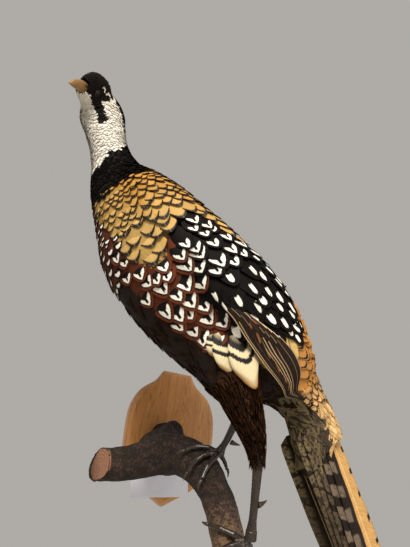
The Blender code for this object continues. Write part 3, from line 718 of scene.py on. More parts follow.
def vane_mesh(name, points, tint, ground, patches):
    """A mesh of many grids of points, with the maps and attributes that the materials read."""
    count, rows, columns = points.shape[:3]
    size = rows * columns
    index = np.arange(size).reshape(rows, columns)
    quads = np.stack([index[:-1, :-1], index[:-1, 1:], index[1:, 1:], index[1:, :-1]], -1).reshape(-1, 4)
    faces = (quads[None] + (np.arange(count) * size)[:, None, None]).reshape(-1, 4)
    mesh = bpy.data.meshes.new(name)
    mesh.vertices.add(count * size)
    mesh.vertices.foreach_set("co", points.astype(np.float32).ravel())
    mesh.loops.add(faces.size)
    mesh.loops.foreach_set("vertex_index", faces.astype(np.int32).ravel())
    mesh.polygons.add(len(faces))
    mesh.polygons.foreach_set("loop_start", np.arange(0, faces.size, 4, dtype=np.int32))
    mesh.polygons.foreach_set("use_smooth", np.ones(len(faces), bool))
    local = np.stack(np.meshgrid(np.linspace(0, 1, rows), np.linspace(0, 1, columns), indexing="ij"), -1)
    local = np.tile(local.reshape(-1, 2), (count, 1))
    centre, reach = (np.repeat(v, size, 0) for v in patches)
    for layer, places in (("Vane", local), ("OFBake", centre + (local[:, ::-1] - 0.5) * reach)):
        flat = places[faces.ravel()].astype(np.float32).ravel()
        mesh.uv_layers.new(name=layer).data.foreach_set("uv", flat)
    mark(mesh, "Tint", np.repeat(tint, size))
    mark(mesh, "Ground", np.repeat(ground, size, 0))
    mesh.update()
    mesh.validate()
    return link(name, mesh)


def bake_patches(across, along, across_step, along_step):
    """Bake patches at each root's place on the unwrapped body, scaled to fill the map."""
    place, step = np.stack([across, along], 1), np.stack([across_step, along_step], 1)
    low = (place - step / 2).min(0)
    span = (place + step / 2).max(0) - low
    return (place - low) / span, step / span * 0.90


def stagger(count, row):
    """Even places round a row, as shares of a turn; every second row is shifted half a place."""
    return (np.arange(count) + 0.5 * (row % 2)) / count


def scatter(rng, count):
    """Random waver for the edges between markings."""
    return np.clip(rng.normal(0, 0.6, count), -1.4, 1.4)


# ---- materials of the plumage -------------------------------------------------------------------
def plume(name, stops=((1.0, "black", 0.0),), curve=0.0, power=2.0, marks=(), shaft=0.0, barbs=46.0,
          roughness=0.62, value=0.35, specular=0.28, ragged=0.035):
    """A feather's material: its ground colour, crescents that follow its rim, marks and barbs.

    The stops run from the root to the rim; one with alpha 0 leaves the ground colour. A mark is a
    V or a drop: its start, end, half width, how far its arms run back, and its colour.
    """
    look = Look(name, roughness, specular)
    along, across, wide, tint = look.vane()
    # Barbs run outwards and towards the tip.
    slant = look.times_plus(wide, -0.42, along)
    streak = look.noise(look.point(look.times(slant, barbs), look.times(across, 1.3),
                                   look.times(tint, 37.0)), 1.0, 2.0, 0.6)
    fray = look.times(look.minus(streak, 0.5), ragged * 2)
    # The rim coordinate is 1 at the feather's edge.
    rim = look.plus(look.times_plus(look.maths("POWER", wide, power), curve, along), fray)
    edge = look.ramp(rim, (0.0, "black", 0.0), *stops)
    shade = look.mix(edge.node.outputs[1], look.ground(), edge)
    if marks:
        # No two feathers carry quite the same mark: it is shifted and stretched a little.
        off = look.maths("ABSOLUTE", look.plus(look.times_plus(tint, 0.36, -0.18), across))
        stretch = look.times_plus(look.maths("FRACT", look.times(tint, 5.3)), 0.5, 0.75)
    for start, end, half_width, arms, mark_colour in marks:
        vee = look.plus(look.times_plus(off, arms, along), fray)
        far = look.times(look.minus(vee, (start + end) / 2), 2 / (end - start))
        out = look.maths("DIVIDE", look.times(off, 1 / half_width), stretch)
        away = look.plus(look.maths("POWER", far, 4.0), look.maths("POWER", out, 4.0))
        shade = look.mix(look.fit(away, 0.75, 1.25, 1.0, 0.0), shade, mark_colour)
    if shaft:
        line = look.fit(wide, 0.03, 0.09, abs(shaft), 0.0)
        shade = look.mix(line, shade, "shaft_pale" if shaft > 0 else "shaft_dark")
    bright = look.plus(look.times_plus(tint, 0.30, 0.85 - value / 2), look.times(streak, value))
    return look.finish(look.brightened(bright, shade), streak, 0.35, 0.0006)


PLUMES = {  # name and settings of each kind of feather's material
    # The scale feathers darken towards their rims: painted shade where each scale overlaps the next.
    "scale": ("white_and_black_scale_plumage", dict(
        stops=((0.62, "scale_edge", 0.0), (0.95, "scale_edge", 0.22), (1.0, "scale_edge", 0.45)),
        curve=0.3, barbs=18.0, value=0.3, roughness=0.75, specular=0.10)),
    "collar": ("black_collar_plumage", dict(barbs=22.0, roughness=0.8, specular=0.05)),
    "mantle": ("golden_mantle_plumage", dict(
        stops=((0.80, "black", 0.0), (0.85, "quill_dark", 0.35), (0.885, "black"), (1.0, "black")),
        curve=0.17, power=3.0, shaft=0.12, value=0.34, ragged=0.07)),
    "breast": ("spotted_breast_plumage", dict(
        marks=((0.60, 1.03, 0.86, 0.03, "black"), (0.74, 0.90, 0.44, 0.03, "white")),
        curve=0.10, value=0.5, ragged=0.06, specular=0.12)),
    "flank": ("chestnut_flank_plumage", dict(
        marks=((0.40, 0.95, 0.92, 0.10, "black"), (0.74, 0.92, 0.76, 0.20, "white"),
               (0.46, 0.82, 0.15, -0.3, "black")),
        value=0.5, ragged=0.06, specular=0.15)),
    "scapular": ("black_and_white_scapular_plumage", dict(
        marks=((0.73, 0.92, 0.66, 0.20, "white"), (0.50, 0.81, 0.13, -0.3, "black")),
        value=0.3, ragged=0.06, specular=0.08)),
    "covert": ("black_and_white_covert_plumage", dict(
        marks=((0.64, 0.88, 0.25, 0.16, "white"),), value=0.3, ragged=0.07, specular=0.08)),
    "pale": ("pale_gold_covert_plumage", dict(
        stops=((0.92, "black", 0.0), (1.0, "quill_dark", 0.8)), curve=0.12, shaft=-0.2, ragged=0.06)),
    "cream": ("cream_flank_plumage", dict(
        stops=((0.22, "black"), (0.34, "black"), (0.37, "black", 0.0), (0.46, "black", 0.0),
               (0.49, "black"), (0.57, "black"), (0.60, "black", 0.0), (0.84, "black", 0.0),
               (1.0, "orange", 0.9)),
        curve=0.22, power=1.4, ragged=0.05)),
    "root": ("dark_olive_tail_root_plumage", dict(
        marks=((0.20, 0.94, 0.26, -0.20, "tail_root"),), barbs=30.0, value=0.8, ragged=0.10,
        specular=0.10)),
    "back": ("golden_back_plumage", dict(
        stops=((0.72, "black", 0.0), (0.79, "black"), (1.0, "black")), curve=0.18, power=3.0,
        ragged=0.06)),
    "rump": ("orange_rump_plumage", dict(
        stops=((0.84, "black", 0.0), (0.88, "black"), (0.955, "black"), (0.98, "orange")),
        curve=0.10, power=4.0, ragged=0.07)),
    "tail": ("plain_gold_tail_covert_plumage", dict(
        stops=((0.93, "black", 0.0), (0.975, "quill_dark", 0.55), (1.0, "quill_dark", 0.2)),
        curve=0.08, power=4.0, ragged=0.10, specular=0.10)),
    "dark": ("black_brown_belly_plumage", dict(
        barbs=26.0, value=0.7, roughness=0.8, specular=0.06)),
}

# The look that a kind of plumage wears, where it has another name than the kind.
WEARS = {"head": "scale", "neck": "scale", "belly": "dark", "vent": "dark"}


def plumage(key):
    """The material of one kind of feather, made when it is first worn."""
    name, values = PLUMES[key]
    return bpy.data.materials.get(name) or plume(name, **values)


# Bands of feather rows: first and last share, feathers around, row pitch, length in pitches and
# width in places.
BANDS = (
    (0.000, 0.305, 46, 0.0042, 2.6, 1.55),
    (0.300, 0.440, 44, 0.0062, 2.6, 1.50),
    (0.428, 0.510, 36, 0.0090, 2.6, 1.40),
    (0.500, 0.605, 29, 0.0118, 2.5, 1.38),
    (0.596, 0.805, 27, 0.0146, 2.5, 1.38),
    (0.795, TAIL_SHARE, 31, 0.0098, 2.9, 1.45),
)
TRACTS = {  # steps, spans, tip rounding, root and tip height, cup
    "scale": dict(steps=4, spans=4, rounding=0.34, low=-0.0022, high=0.0004, cup=0.0004),
    "collar": dict(steps=5, spans=4, rounding=0.34, low=-0.0028, high=0.0002, cup=0.0005),
    "mantle": dict(steps=8, spans=6, rounding=0.36, low=-0.0040, high=0.0004, cup=0.0012),
    "breast": dict(steps=7, spans=6, rounding=0.36, low=-0.0040, high=0.0002, cup=0.0010),
    "flank": dict(steps=8, spans=8, rounding=0.34, low=-0.0045, high=0.0010, cup=0.0016),
    "scapular": dict(steps=8, spans=6, rounding=0.34, low=-0.0042, high=0.0012, cup=0.0012),
    "covert": dict(steps=8, spans=6, rounding=0.40, low=-0.0042, high=0.0010, cup=0.0012),
    "pale": dict(steps=8, spans=6, rounding=0.40, low=-0.0042, high=0.0004, cup=0.0010),
    "back": dict(steps=7, spans=6, rounding=0.36, low=-0.0040, high=0.0002, cup=0.0010),
    "rump": dict(steps=7, spans=6, rounding=0.38, low=-0.0040, high=0.0000, cup=0.0009),
    "root": dict(steps=8, spans=6, rounding=0.45, low=-0.0040, high=0.0004, cup=0.0012),
    "dark": dict(steps=6, spans=4, rounding=0.40, low=-0.0040, high=0.0000, cup=0.0008, pointed=0.5,
                 roll=0.0012, stir=0.0016),
    "head": dict(steps=4, spans=4, rounding=0.34, low=-0.0012, high=0.0003, cup=0.0003, roll=0.0004,
                 stir=0.0004),
    "thigh": dict(steps=5, spans=2, rounding=0.5, low=-0.0030, high=0.0008, cup=0.0006, pointed=0.75,
                  roll=0.0016, stir=0.0026),
}
# How much longer than in its band each look's feathers are.
STRETCH = {"flank": 1.15, "covert": 1.25, "scapular": 1.15, "pale": 1.6, "dark": 1.3, "root": 2.2}


def band_roots(band):
    """Places round the body and along it of a band's feathers in staggered rows, and their sizes."""
    first, last, columns, pitch, overlap, width_share = band
    fine = np.linspace(first, last, 200)
    run = np.concatenate([[0], np.cumsum(np.linalg.norm(np.diff(spine_frame(fine)[0], axis=0), axis=1))])
    rows = max(2, int(round(run[-1] / pitch)))
    share = np.repeat(np.interp((np.arange(rows) + 0.5) / rows * run[-1], run, fine), columns)
    angle = np.concatenate([stagger(columns, row) for row in range(rows)]) * 2 * math.pi
    back, belly, side = spine_frame(share)[3:]
    width = math.pi * (side + (back + belly) / 2) / columns * width_share
    sizes = np.tile((pitch * overlap, 2 * math.pi / columns, (last - first) / rows), (len(share), 1))
    return share, angle, width, *sizes.T


def trunk_feathers():
    """Bands of overlapping feathers from the neck to the tail, a piece for each kind of plumage."""
    rng = np.random.default_rng(11)
    parts = []
    for band in BANDS:
        part = band_roots(band)
        parts.append(part + (rng.normal(0, 0.10, (len(part[0]), 2)),))
    cell_s, cell_a, width, length, step_a, step_s, jitter = (np.concatenate(v) for v in zip(*parts))
    share, angle = cell_s + jitter[:, 0] * step_s, cell_a + jitter[:, 1] * step_a
    root, found = cast(Coat.rays, body_point(share, angle, RAY_REACH), spine_frame(share)[0])
    left_side = np.where(np.cos(angle) >= 0, 1.0, -1.0)
    rise = np.degrees(np.arcsin(np.sin(angle)))
    droop = np.interp(rise, (-90, -70, -40, 0, 30, 50, 90), (0, 0.6, 1.1, 1.1, 0.9, 0.3, 0))
    droop = droop * np.clip((share - 0.46) / 0.1, 0, 1)
    ahead = body_point(np.minimum(share + 0.02, 1.02), angle - left_side * droop * 0.024)
    lie = unit(ahead - body_point(share, angle))
    late = share > TAIL_SHARE
    lie[late] = unit(spine_frame(np.full(late.sum(), 1.0))[1])
    lie = unit(lie + rng.normal(0, 0.09, lie.shape))
    off_form = np.linalg.norm(root - body_point(share, angle), axis=1) > STRAY_REACH
    found &= (head_reach(root) > 1.10) & (~off_form | (share > 0.36))
    noise = scatter(rng, len(share))
    seen, _ = press(root + lie * (length * 0.55)[:, None])
    kinds = kinds_at(seen, noise)
    found &= ~((kinds == KINDS.index("pale")) & (rise < -12))
    under = np.isin(kinds, [KINDS.index(k) for k in ("belly", "vent", "root")])
    found &= ~(under & off_form)
    ground = ground_colours(seen, kinds, noise)
    tint = rng.random(len(share))
    worn = np.array([WEARS.get(kind, kind) for kind in KINDS])[kinds]
    for key in sorted(set(worn)):
        m = (worn == key) & found
        size = length[m] * STRETCH.get(key, 1.0) * (1 + rng.normal(0, 0.11, m.sum()))
        grow_vanes(key + "_feathers", (root[m], lie[m], size, width[m], tint[m], ground[m]),
                   TRACTS[key], (cell_a[m], cell_s[m], step_a[m], step_s[m]), key)


def ring_roots():
    """Lines from outside to inside for the head's feathers: round the head, its nape and its face."""
    rng = np.random.default_rng(23)
    groups = []
    for row, u in enumerate(np.arange(0.0265, 0.081, 0.0024)):
        reach = np.interp(u, (0.024, 0.034, 0.055, 0.070, 0.080), (0.010, 0.016, 0.0215, 0.018, 0.008))
        turn = stagger(int(2 * math.pi * reach * HEAD_SCALE / 0.0029), row) * 2 * math.pi
        groups.append((np.full(len(turn), u), turn))
    u, angle = (np.concatenate(v) for v in zip(*groups))
    u = u + rng.normal(0, 0.0004, len(u))
    angle = angle + rng.normal(0, 0.02, len(u))
    rows = [(u, angle, head_point(u, 0.05 * np.cos(angle), 0.05 * np.sin(angle)),
             head_point(u, 0 * u, 0 * u), 0 * u)]
    start, tail_ward = (v[0] for v in spine_frame(np.zeros(1))[:2])
    for rise in np.arange(0.05, 1.5, 0.13):
        turn = stagger(max(4, int(2 * math.pi * 0.028 * math.cos(rise) / 0.0034)), 1) * 2 * math.pi
        far = body_point(0 * turn, turn, 0.04) - start
        outside = start + far * math.cos(rise) - tail_ward * 0.05 * math.sin(rise)
        rows.append((0 * turn + 0.084 + 0.004 * rise, turn, outside, 0 * outside + start, 0 * turn + 1))
    middle = head_point(0.046, 0.0, 0.004)
    for rise in np.arange(0.45, 1.5, 0.10):
        turn = stagger(max(8, int(2 * math.pi * 0.021 * math.sin(rise) / 0.0028)), int(rise * 10))
        turn = turn * 2 * math.pi
        sine = math.sin(rise) * 0.06
        outside = head_point(0.046 - 0.06 * math.cos(rise), sine * np.cos(turn),
                             0.004 + sine * np.sin(turn))
        rows.append((0 * turn + 0.010 + 0.009 * rise, turn, outside, 0 * outside + middle, 0 * turn + 2))
    return (rng, *(np.concatenate(v) for v in zip(*rows)))


def head_feathers():
    """Small scale feathers that sweep back from the bill and turn down on to the neck."""
    rng, u, angle, outside, inside, group = ring_roots()
    nape, face = group == 1, group == 2
    root, found = cast(Coat.rays, outside, inside)
    place = np.stack(head_place(root), 1)
    reach = head_reach(root)
    found &= np.where(nape, reach > 1.02, np.abs(reach - 1) < 0.10) | (face & (place[:, 0] < 0.034))
    found &= face | nape | (place[:, 0] >= 0.0325)
    for side, _ in SIDES:
        found &= np.linalg.norm(place - eye_place(side), axis=1) > EYE_RADIUS * 0.86 / HEAD_SCALE
    beak = np.hypot(place[:, 1] / 0.0080, (place[:, 2] - 0.0015) / 0.0092)
    found &= (beak > 1.0) | (place[:, 0] > 0.036)
    down = unit(spine_frame(np.array(0.10))[0] - spine_frame(np.array(0.0))[0])
    turn = (root - head_point(0.052, 0.0, 0.0)) @ down + np.where(nape, 0.030, 0.004)
    turn = np.clip(turn / 0.030, 0, 1)[:, None]
    lie = unit(down * turn - head_axes()[0] * (1 - turn))
    spray = unit(root - head_point(0.024, 0.0, 0.002))
    lie = np.where(face[:, None], unit(lie * 0.35 + spray), lie)
    for side, _ in SIDES:
        # Feathers part round the eye.
        away = root - head_point(*eye_place(side))
        near = np.exp(-(np.linalg.norm(away, axis=1) / 0.009) ** 2)[:, None]
        lie = unit(lie + unit(away) * near * 0.9)
    length = np.interp(place[:, 0], (0.026, 0.036, 0.050, 0.080), (0.0040, 0.0052, 0.0070, 0.0096))
    noise = scatter(rng, len(u))
    seen, _ = press(root + lie * (length * 0.6)[:, None])
    ground = ground_colours(seen, np.full(len(u), KINDS.index("head")), noise)
    tint = rng.random(len(u))
    m, across = found, angle / (2 * math.pi) % 1.0
    grow_vanes("head_feathers", (root[m], lie[m], length[m], length[m] * 0.62, tint[m], ground[m]),
               TRACTS["head"], (across[m], u[m], np.full(m.sum(), 0.012), np.full(m.sum(), 0.0018)),
               "scale")


def eye_place(side):
    """The eye's middle in the head's own lengths."""
    return np.array((EYE_U, side * EYE_ACROSS, EYE_UP))


def leg_frame(rows, share):
    """Centre, radius, direction downwards and two directions across a leg at these shares."""
    here = smooth_table(rows, share)
    along = unit(smooth_table(rows, share + 0.01)[..., :3] - smooth_table(rows, share - 0.01)[..., :3])
    across = unit(np.cross(along, LEG_PLANE))
    return here[..., :3], here[..., 3], along, across, np.cross(across, along)


def thigh_feathers():
    """Dark hair-like feathers down the thighs, the lowest lying over the hock."""
    rng = np.random.default_rng(37)
    for word, rows in LEGS.items():
        parts = []
        for row, share in enumerate(np.linspace(0.10, HOCK_SHARE - 0.005, 26)):
            count = max(10, int(2 * math.pi * smooth_table(rows, share)[3] / 0.0042))
            parts.append((np.full(count, share), stagger(count, row) * 2 * math.pi,
                          np.full(count, 1 / count)))
        share, angle, step = (np.concatenate(v) for v in zip(*parts))
        angle = angle + rng.normal(0, 0.05, len(angle))
        middle, radius, lie, across, up = leg_frame(rows, share)
        ray = across * np.cos(angle)[:, None] + up * np.sin(angle)[:, None]
        root, found = cast(Coat.thighs, middle + ray * (radius + 0.03)[:, None], middle)
        near, normal = press(root)
        m = found & (((root - near) * normal).sum(1) > -0.0035)
        length = np.interp(share, (0.1, 0.4, 0.5), (0.030, 0.024, 0.014))
        length = length * (1 + rng.normal(0, 0.1, len(share)))
        width = np.interp(share, (0.1, 0.5), (0.0078, 0.0046))
        tint = rng.random(len(share))
        warm = np.array(colour("dark")) * (1.0, 0.84, 0.72)
        ground = warm * (1.2 + 1.5 * rng.random((len(share), 1)))
        grow_vanes("thigh_feathers_" + word, (root[m], lie[m], length[m], width[m], tint[m], ground[m]),
                   TRACTS["thigh"], (angle[m] / (2 * math.pi) % 1, share[m], step[m] * 0.9,
                                     np.full(m.sum(), 0.014)), "dark")


def tail_coverts():
    """Rows of plain gold feathers over the tail's root, and dark ones under it."""
    rng = np.random.default_rng(53)
    rows, columns = np.linspace(-0.004, 0.032, 7), 26
    along = np.repeat(rows, columns)
    rise = -90 + 360 * np.concatenate([stagger(columns, row) for row in range(len(rows))])
    end = np.ones(len(along))
    shift = tail_line(along) - tail_line(0.0)
    root, found = cast(Coat.rays, body_point(end, np.radians(rise), 0.03) + shift,
                       spine_frame(end)[0] + shift)
    lie = unit(tail_line(along + 0.02) - tail_line(along))
    high = np.sin(np.radians(rise))
    noise = rng.normal(0, 0.5, len(along))
    for name, key, look, slot, m in (
            ("upper_tail_coverts", "rump", "tail", "plume_gold", found & (high > -0.05)),
            ("under_tail_coverts", "root", "root", "plume_tail", found & (high < 0.05))):
        count = m.sum()
        tint = rng.random(count)
        if key == "rump":
            ground = np.array(colour("tail_gold")) * (0.8 + 0.3 * tint[:, None])
        else:
            ground = ground_colours(root[m], np.full(count, KINDS.index(key)), noise[m])
            fade = np.interp(high[m] + 0.15 * noise[m], (-0.8, -0.3), (0.0, 1.0))[:, None]
            ground = ground * (1 - fade) + np.array(colour("tail_grey")) * 0.6 * fade
        grow_vanes(name, (root[m], lie[m], 0.036 * (0.85 + 0.3 * tint), np.full(count, 0.0130), tint,
                          ground), dict(TRACTS[key], steps=8),
                   (rise[m] / 360, along[m], np.full(count, 0.03), np.full(count, 0.006)), look)


# ---- wing quills and tail -----------------------------------------------------------------------
def sheet_piece(name, side, sheets, tint, ground, look, thickness, offset=0.0, patch=(0.9, 0.96),
                replaced=()):
    """Joined open sheets, such as big feathers, turned outwards and given their thickness."""
    count = len(sheets)
    patches = (np.stack([(np.arange(count) + 0.5) / count, np.full(count, 0.5)], 1),
               np.tile((patch[0] / count, patch[1]), (count, 1)))
    made = vane_mesh(name, np.array(sheets), np.array(tint), np.tile(colour(ground), (count, 1)), patches)
    if np.mean([p.normal[1] * p.area for p in made.data.polygons]) * -side < 0:
        made.data.flip_normals()
    apply_modifier(made, "SOLIDIFY", thickness=thickness, offset=offset)
    finish_piece(made, replaced=replaced, material=look)


# Share and rise of the root, length, heading down from the level, lift and width.
CREAM_VANES = (
    (0.768, -40.0, 0.050, 55.0, 0.0005, 0.032),
    (0.760, -43.0, 0.055, 60.0, 0.0045, 0.036),
    (0.755, -48.0, 0.030, 62.0, 0.0050, 0.026),
    (0.780, -36.0, 0.062, 66.0, 0.0090, 0.036),
)


def cream_feathers():
    """A few broad cream feathers, barred with black, that hang free between flank and wing."""
    t, w = np.meshgrid(np.linspace(0, 1, 19), np.linspace(-1, 1, 13), indexing="ij")
    for side, word in SIDES:
        sheets = []
        for share, rise, length, heading, lift, width in CREAM_VANES:
            if side < 0:
                # The right side's feathers lie closer, along the flank under the wing.
                rise, length, heading = rise + 26.0, length * 0.6, 42.0
            angle = math.radians(rise if side > 0 else 180.0 - rise)
            share = np.array([share])
            root = cast(Coat.rays, body_point(share, angle, RAY_REACH), spine_frame(share)[0])[0][0]
            lie = np.array((math.cos(math.radians(heading)), -0.02 * side,
                            -math.sin(math.radians(heading))))
            across = unit(np.cross(lie, (0.0, 1.0, 0.0)))
            half = width / 2 * vane_profile(t, 0.45, 0.5)
            half = half * (1 - 0.35 * np.clip((t - 0.5) / 0.5, 0, 1) ** 2)
            reach = t * (1 - 0.30 * w ** 2 * t ** 1.5) * length
            grid = root + lie * reach[..., None] + across * (half * w)[..., None]
            cup = 0.004 * np.sin(math.pi * t * 0.9) - 0.006 * w ** 2 * (0.3 + 0.7 * t)
            grid[..., 1] -= side * (lift + cup - 0.004)
            sheets.append(grid)
        sheet_piece("cream_flank_feathers_" + word, side, sheets, (0.3, 0.6, 0.4, 0.5), "cream",
                    plumage("cream"), QUILL_THICKNESS)


def quill_material():
    """Dark brown flight feathers: buff shafts and edges, rufous spots along the outer web."""
    look = Look("brown_flight_feather", 0.6, 0.12)
    along, across, wide, tint = look.vane()
    slant = look.times_plus(wide, -0.14, along)
    streak = look.noise(look.point(look.times(slant, 110.0), look.times(across, 1.5),
                                   look.times(tint, 31.0)), 1.0, 2.0)
    # Eight spots to a feather, half way out on both webs.
    spot_at = look.maths("FRACT", look.times_plus(slant, 8.0, tint))
    along_spot = look.maths("ABSOLUTE", look.minus(spot_at, 0.5))
    across_spot = look.maths("ABSOLUTE", look.minus(wide, 0.45))
    spot = look.plus(look.times_plus(across_spot, 1.2, along_spot), look.times(streak, 0.12))
    spot = look.plus(look.fit(tint, 0.3, 0.5, 0.0, 0.3), spot)
    shade = look.ramp(spot, (0.0, "rufous"), (0.26, "rufous"), (0.44, "quill_dark"), (0.54, "grey_brown"))
    shade = look.mix(look.fit(along, 0.62, 0.98, 0.0, 0.9), shade, "quill_dark")
    strength = look.fit(tint, 0.35, 0.75, 0.12, 1.0)
    for low, high, at_low, at_high in ((0.84, 0.92, 0.0, 1.0), (0.02, 0.07, 0.35, 0.0)):
        line = look.times(look.fit(wide, low, high, at_low, at_high), strength)
        shade = look.mix(line, shade, "quill_edge")
    bright = look.times_plus(streak, 0.6, 0.72)
    return look.finish(look.brightened(bright, shade), streak, 0.4, 0.0006)


# Rank from the lowest flight feather (0) to the uppermost (1), and how pale its edge is.
QUILLS = ((0.00, 0.95), (0.10, 0.60), (0.32, 0.10), (0.55, 0.95), (0.68, 0.80), (0.82, 0.90),
          (1.00, 0.55))


def wing_quills():
    """The folded flight feathers of both wings, the upper ones lying over the lower."""
    look = quill_material()
    t, w = np.meshgrid(np.linspace(0, 1, 31), np.linspace(-1, 1, 11), indexing="ij")
    half = 0.0080 * np.clip(0.45 + 2 * t, 0, 1) * (1 - 0.30 * t) * np.clip((1 - t) / 0.50, 0.0, 1.0) ** 0.8
    for side, word in SIDES:
        sheets = []
        for k, (rank, _) in enumerate(QUILLS):
            first, last = 0.60 + 0.14 * rank, 0.985 + 0.01 * rank
            place = first + (last - first) * t
            fall = (0.52 if side > 0 else 0.22) + 0.10 * rank
            over = 0.06 + 0.16 * rank - fall * t ** 3.2
            low, high = (np.interp(place, WING_EDGES[:, 0], WING_EDGES[:, c]) for c in (1, 2))
            grid = wing_point(side, place, over + w * half / (high - low))
            rise = 0.0008 + 0.0007 * k + 0.0010 * (1 - w ** 2) - 0.0045 * np.clip(1 - t / 0.12, 0, 1)
            grid[..., 1] -= side * rise
            sheets.append(grid)
        sheet_piece("flight_feathers_" + word, side, sheets, [q[1] for q in QUILLS], "grey_brown",
                    look, QUILL_THICKNESS, replaced=("wing_" + word,))


# Each pair's bar spacing, ground, half a bar's share of the spacing, waver and range of its specks.
TAIL_LOOKS = (
    (0.025, "tail_silver", 0.26, 0.45, 0.54, 0.68),
    (0.023, "tail_silver", 0.24, 0.45, 0.54, 0.68),
    (0.022, "tail_grey", 0.16, 1.7, 0.46, 0.62),
    (0.020, "tail_olive", 0.10, 1.7, 0.46, 0.62),
    (0.018, "tail_olive", 0.10, 1.7, 0.46, 0.62),
)


def tail_material(number, length):
    """A long tail feather: grey-brown or olive ground under dark bars, the first with a gold web."""
    spacing, ground, half, waver, few, many = TAIL_LOOKS[number - 1]
    dark = "quill_dark"
    look = Look("barred_tail_feather_%d" % number, 0.6, 0.12)
    along, across, wide, _ = look.vane()
    distance = look.times(along, length)
    slant = look.times_plus(wide, -0.012, distance)
    streak = look.noise(look.point(look.times(slant, 900.0), look.times(across, 1.5), 0.3 * number),
                        1.0, 2.0)
    wander = look.noise(look.point(look.times(distance, 60.0), across, 2.7 * number), 1.2, 3.0)
    bowed = look.times_plus(look.times(wide, wide), 0.16, look.times(distance, 1 / spacing))
    bars = look.maths("FRACT", look.times_plus(wander, waver, bowed))
    shade = look.ramp(bars, (0.0, ground), (0.46 - half, ground), (0.53 - half, dark),
                      (0.47 + half, dark), (0.55 + half, ground), (1.0, ground))
    mottle = look.noise(look.point(look.times(distance, 260.0), look.times(across, 4.0), 1.0 * number),
                        1.0, 4.0)
    shade = look.mix(look.fit(mottle, few, many, 0.0, 0.85), shade, dark)
    if number >= 4:
        # The outer feathers are dark along the shaft, and turn grey-brown below their olive roots.
        core = look.fit(look.times_plus(wander, 0.9, wide), 0.70, 0.90, 0.95, 0.0)
        shade = look.mix(core, shade, dark)
        lower = look.fit(look.times_plus(wander, 0.08, distance), 0.07, 0.16, 0.0, 0.75)
        shade = look.mix(lower, shade, "tail_root")
    if number == 1:
        # A black band runs beside the shaft, partly the feather's dark and partly painted shade for the
        # shadow beside the gold web; the web above it is gold, with dashes near its edge.
        frayed = look.times_plus(wander, 0.16, across)
        shade = look.mix(look.fit(frayed, 0.62, 0.70, 0.95, 0.0), shade, dark)
        dash = look.fit(look.maths("ABSOLUTE", look.minus(bars, 0.5)), 0.08, 0.13, 1.0, 0.0)
        inked = look.times(dash, look.fit(across, -0.66, -0.76, 0.0, 1.0))
        gold = look.mix(inked, look.mix(streak, "gold", "tail_gold"), dark)
        shade = look.mix(look.fit(frayed, 0.36, 0.30, 0.0, 1.0), shade, gold)
    shade = look.mix(look.fit(wide, 0.02, 0.06, 0.55, 0.0), shade, "quill_edge")
    bright = look.times_plus(streak, 0.6, 0.70)
    return look.finish(look.brightened(bright, shade), streak, 0.4, 0.0008)


def tail_feathers():
    """Ten long feathers, each a cupped blade with a raised shaft, in place of its plain plate."""
    for pair, (length, width, offset, under) in enumerate(TAIL_PAIRS):
        look = tail_material(pair + 1, length)
        t, w = np.meshgrid(np.linspace(0, 1, max(24, int(length * 110)) + 1), np.linspace(-1, 1, 15),
                           indexing="ij")
        start = 0.002 + 0.005 * pair
        distance = start + (length - start) * t
        open_up = np.minimum(1.0, distance / 0.16)
        half = TAIL_ROOT_WIDTH / 2 + (width - TAIL_ROOT_WIDTH) / 2 * open_up ** 0.7
        half = half * np.maximum(0.02, 1 - t ** 5) ** 0.75 * (1 - 0.30 * t)
        half = half * np.clip((distance - start) / 0.010 + 0.05, 0, 1) ** 0.5
        middle = offset * (TAIL_ROOT_SQUEEZE + (1 - TAIL_ROOT_SQUEEZE) * open_up) * (1 - 0.35 * t)
        cup = 0.0016 * w ** 2 - 0.0009 * np.exp(-(w / 0.07) ** 2)
        for side, word in SIDES:
            ripple = 0.0004 * np.sin(distance * 90 + 2 * w + 3 * pair + side) * np.abs(w)
            grid = tail_point(side, distance, middle + half * w, under + 0.0006 + cup + ripple)
            name = "tail_feather_%s_%d" % (word, pair + 1)
            sheet_piece(name, side, [grid], [0.1 * pair], "tail_silver", look,
                        TAIL_THICKNESS, offset=-1.0, patch=(0.96, 0.98),
                        replaced=(name.replace("_feather", ""),))


# ---- skin ---------------------------------------------------------------------------------------
def raise_skin():
    """One closed skin for trunk, head and thighs, inside the solids by the coat's depth."""
    depth = bpy.context.scene.pheasant_sizes.coat_depth
    skin = copy_nodes(TRUNK_NODES + THIGH_NODES, "skin")
    swell(skin, SKIN_SWELL)
    remesh(skin, BODY_VOXEL, 16)
    swell(skin, -SKIN_SWELL - depth)
    smooth(skin, 0.4, 4)
    points = points_of(skin)
    # The coat is thin on the head, so the skin rises nearly to its surface.
    thin = 1 - np.clip((head_place(points)[0] - 0.050) / 0.020, 0, 1)
    points = points + points_of(skin, "normal") * (thin * 0.65 * depth)[:, None]
    move_points(skin, points)
    noise = np.random.default_rng(5).normal(0, 0.4, len(points))
    kinds = kinds_at(points, noise)
    on_leg = np.minimum(*(chain_distance(points, rows[1:4]) for rows in LEGS.values())) < -0.001
    kinds[on_leg] = KINDS.index("belly")
    share, rise = body_place(points)
    # Past the tail's root the lower skin takes the dark vent colour as painted shade, so the skin showing
    # there reads as shadow.
    kinds[(share > TAIL_SHARE) & (rise < -8)] = KINDS.index("vent")
    mark(skin.data, "Ground", ground_colours(points, kinds, noise) * 0.75)
    look = Look("feathered_skin_underdown", 0.8, 0.2)
    fluff = look.noise(look.place(), 420.0, 4.0)
    shade = look.brightened(look.times_plus(fluff, 0.7, 0.6), look.ground())
    smooth_shade(skin)
    finish_piece(skin, replaced=TRUNK_NODES + THIGH_NODES,
                 material=look.finish(shade, fluff, 0.5, 0.001))


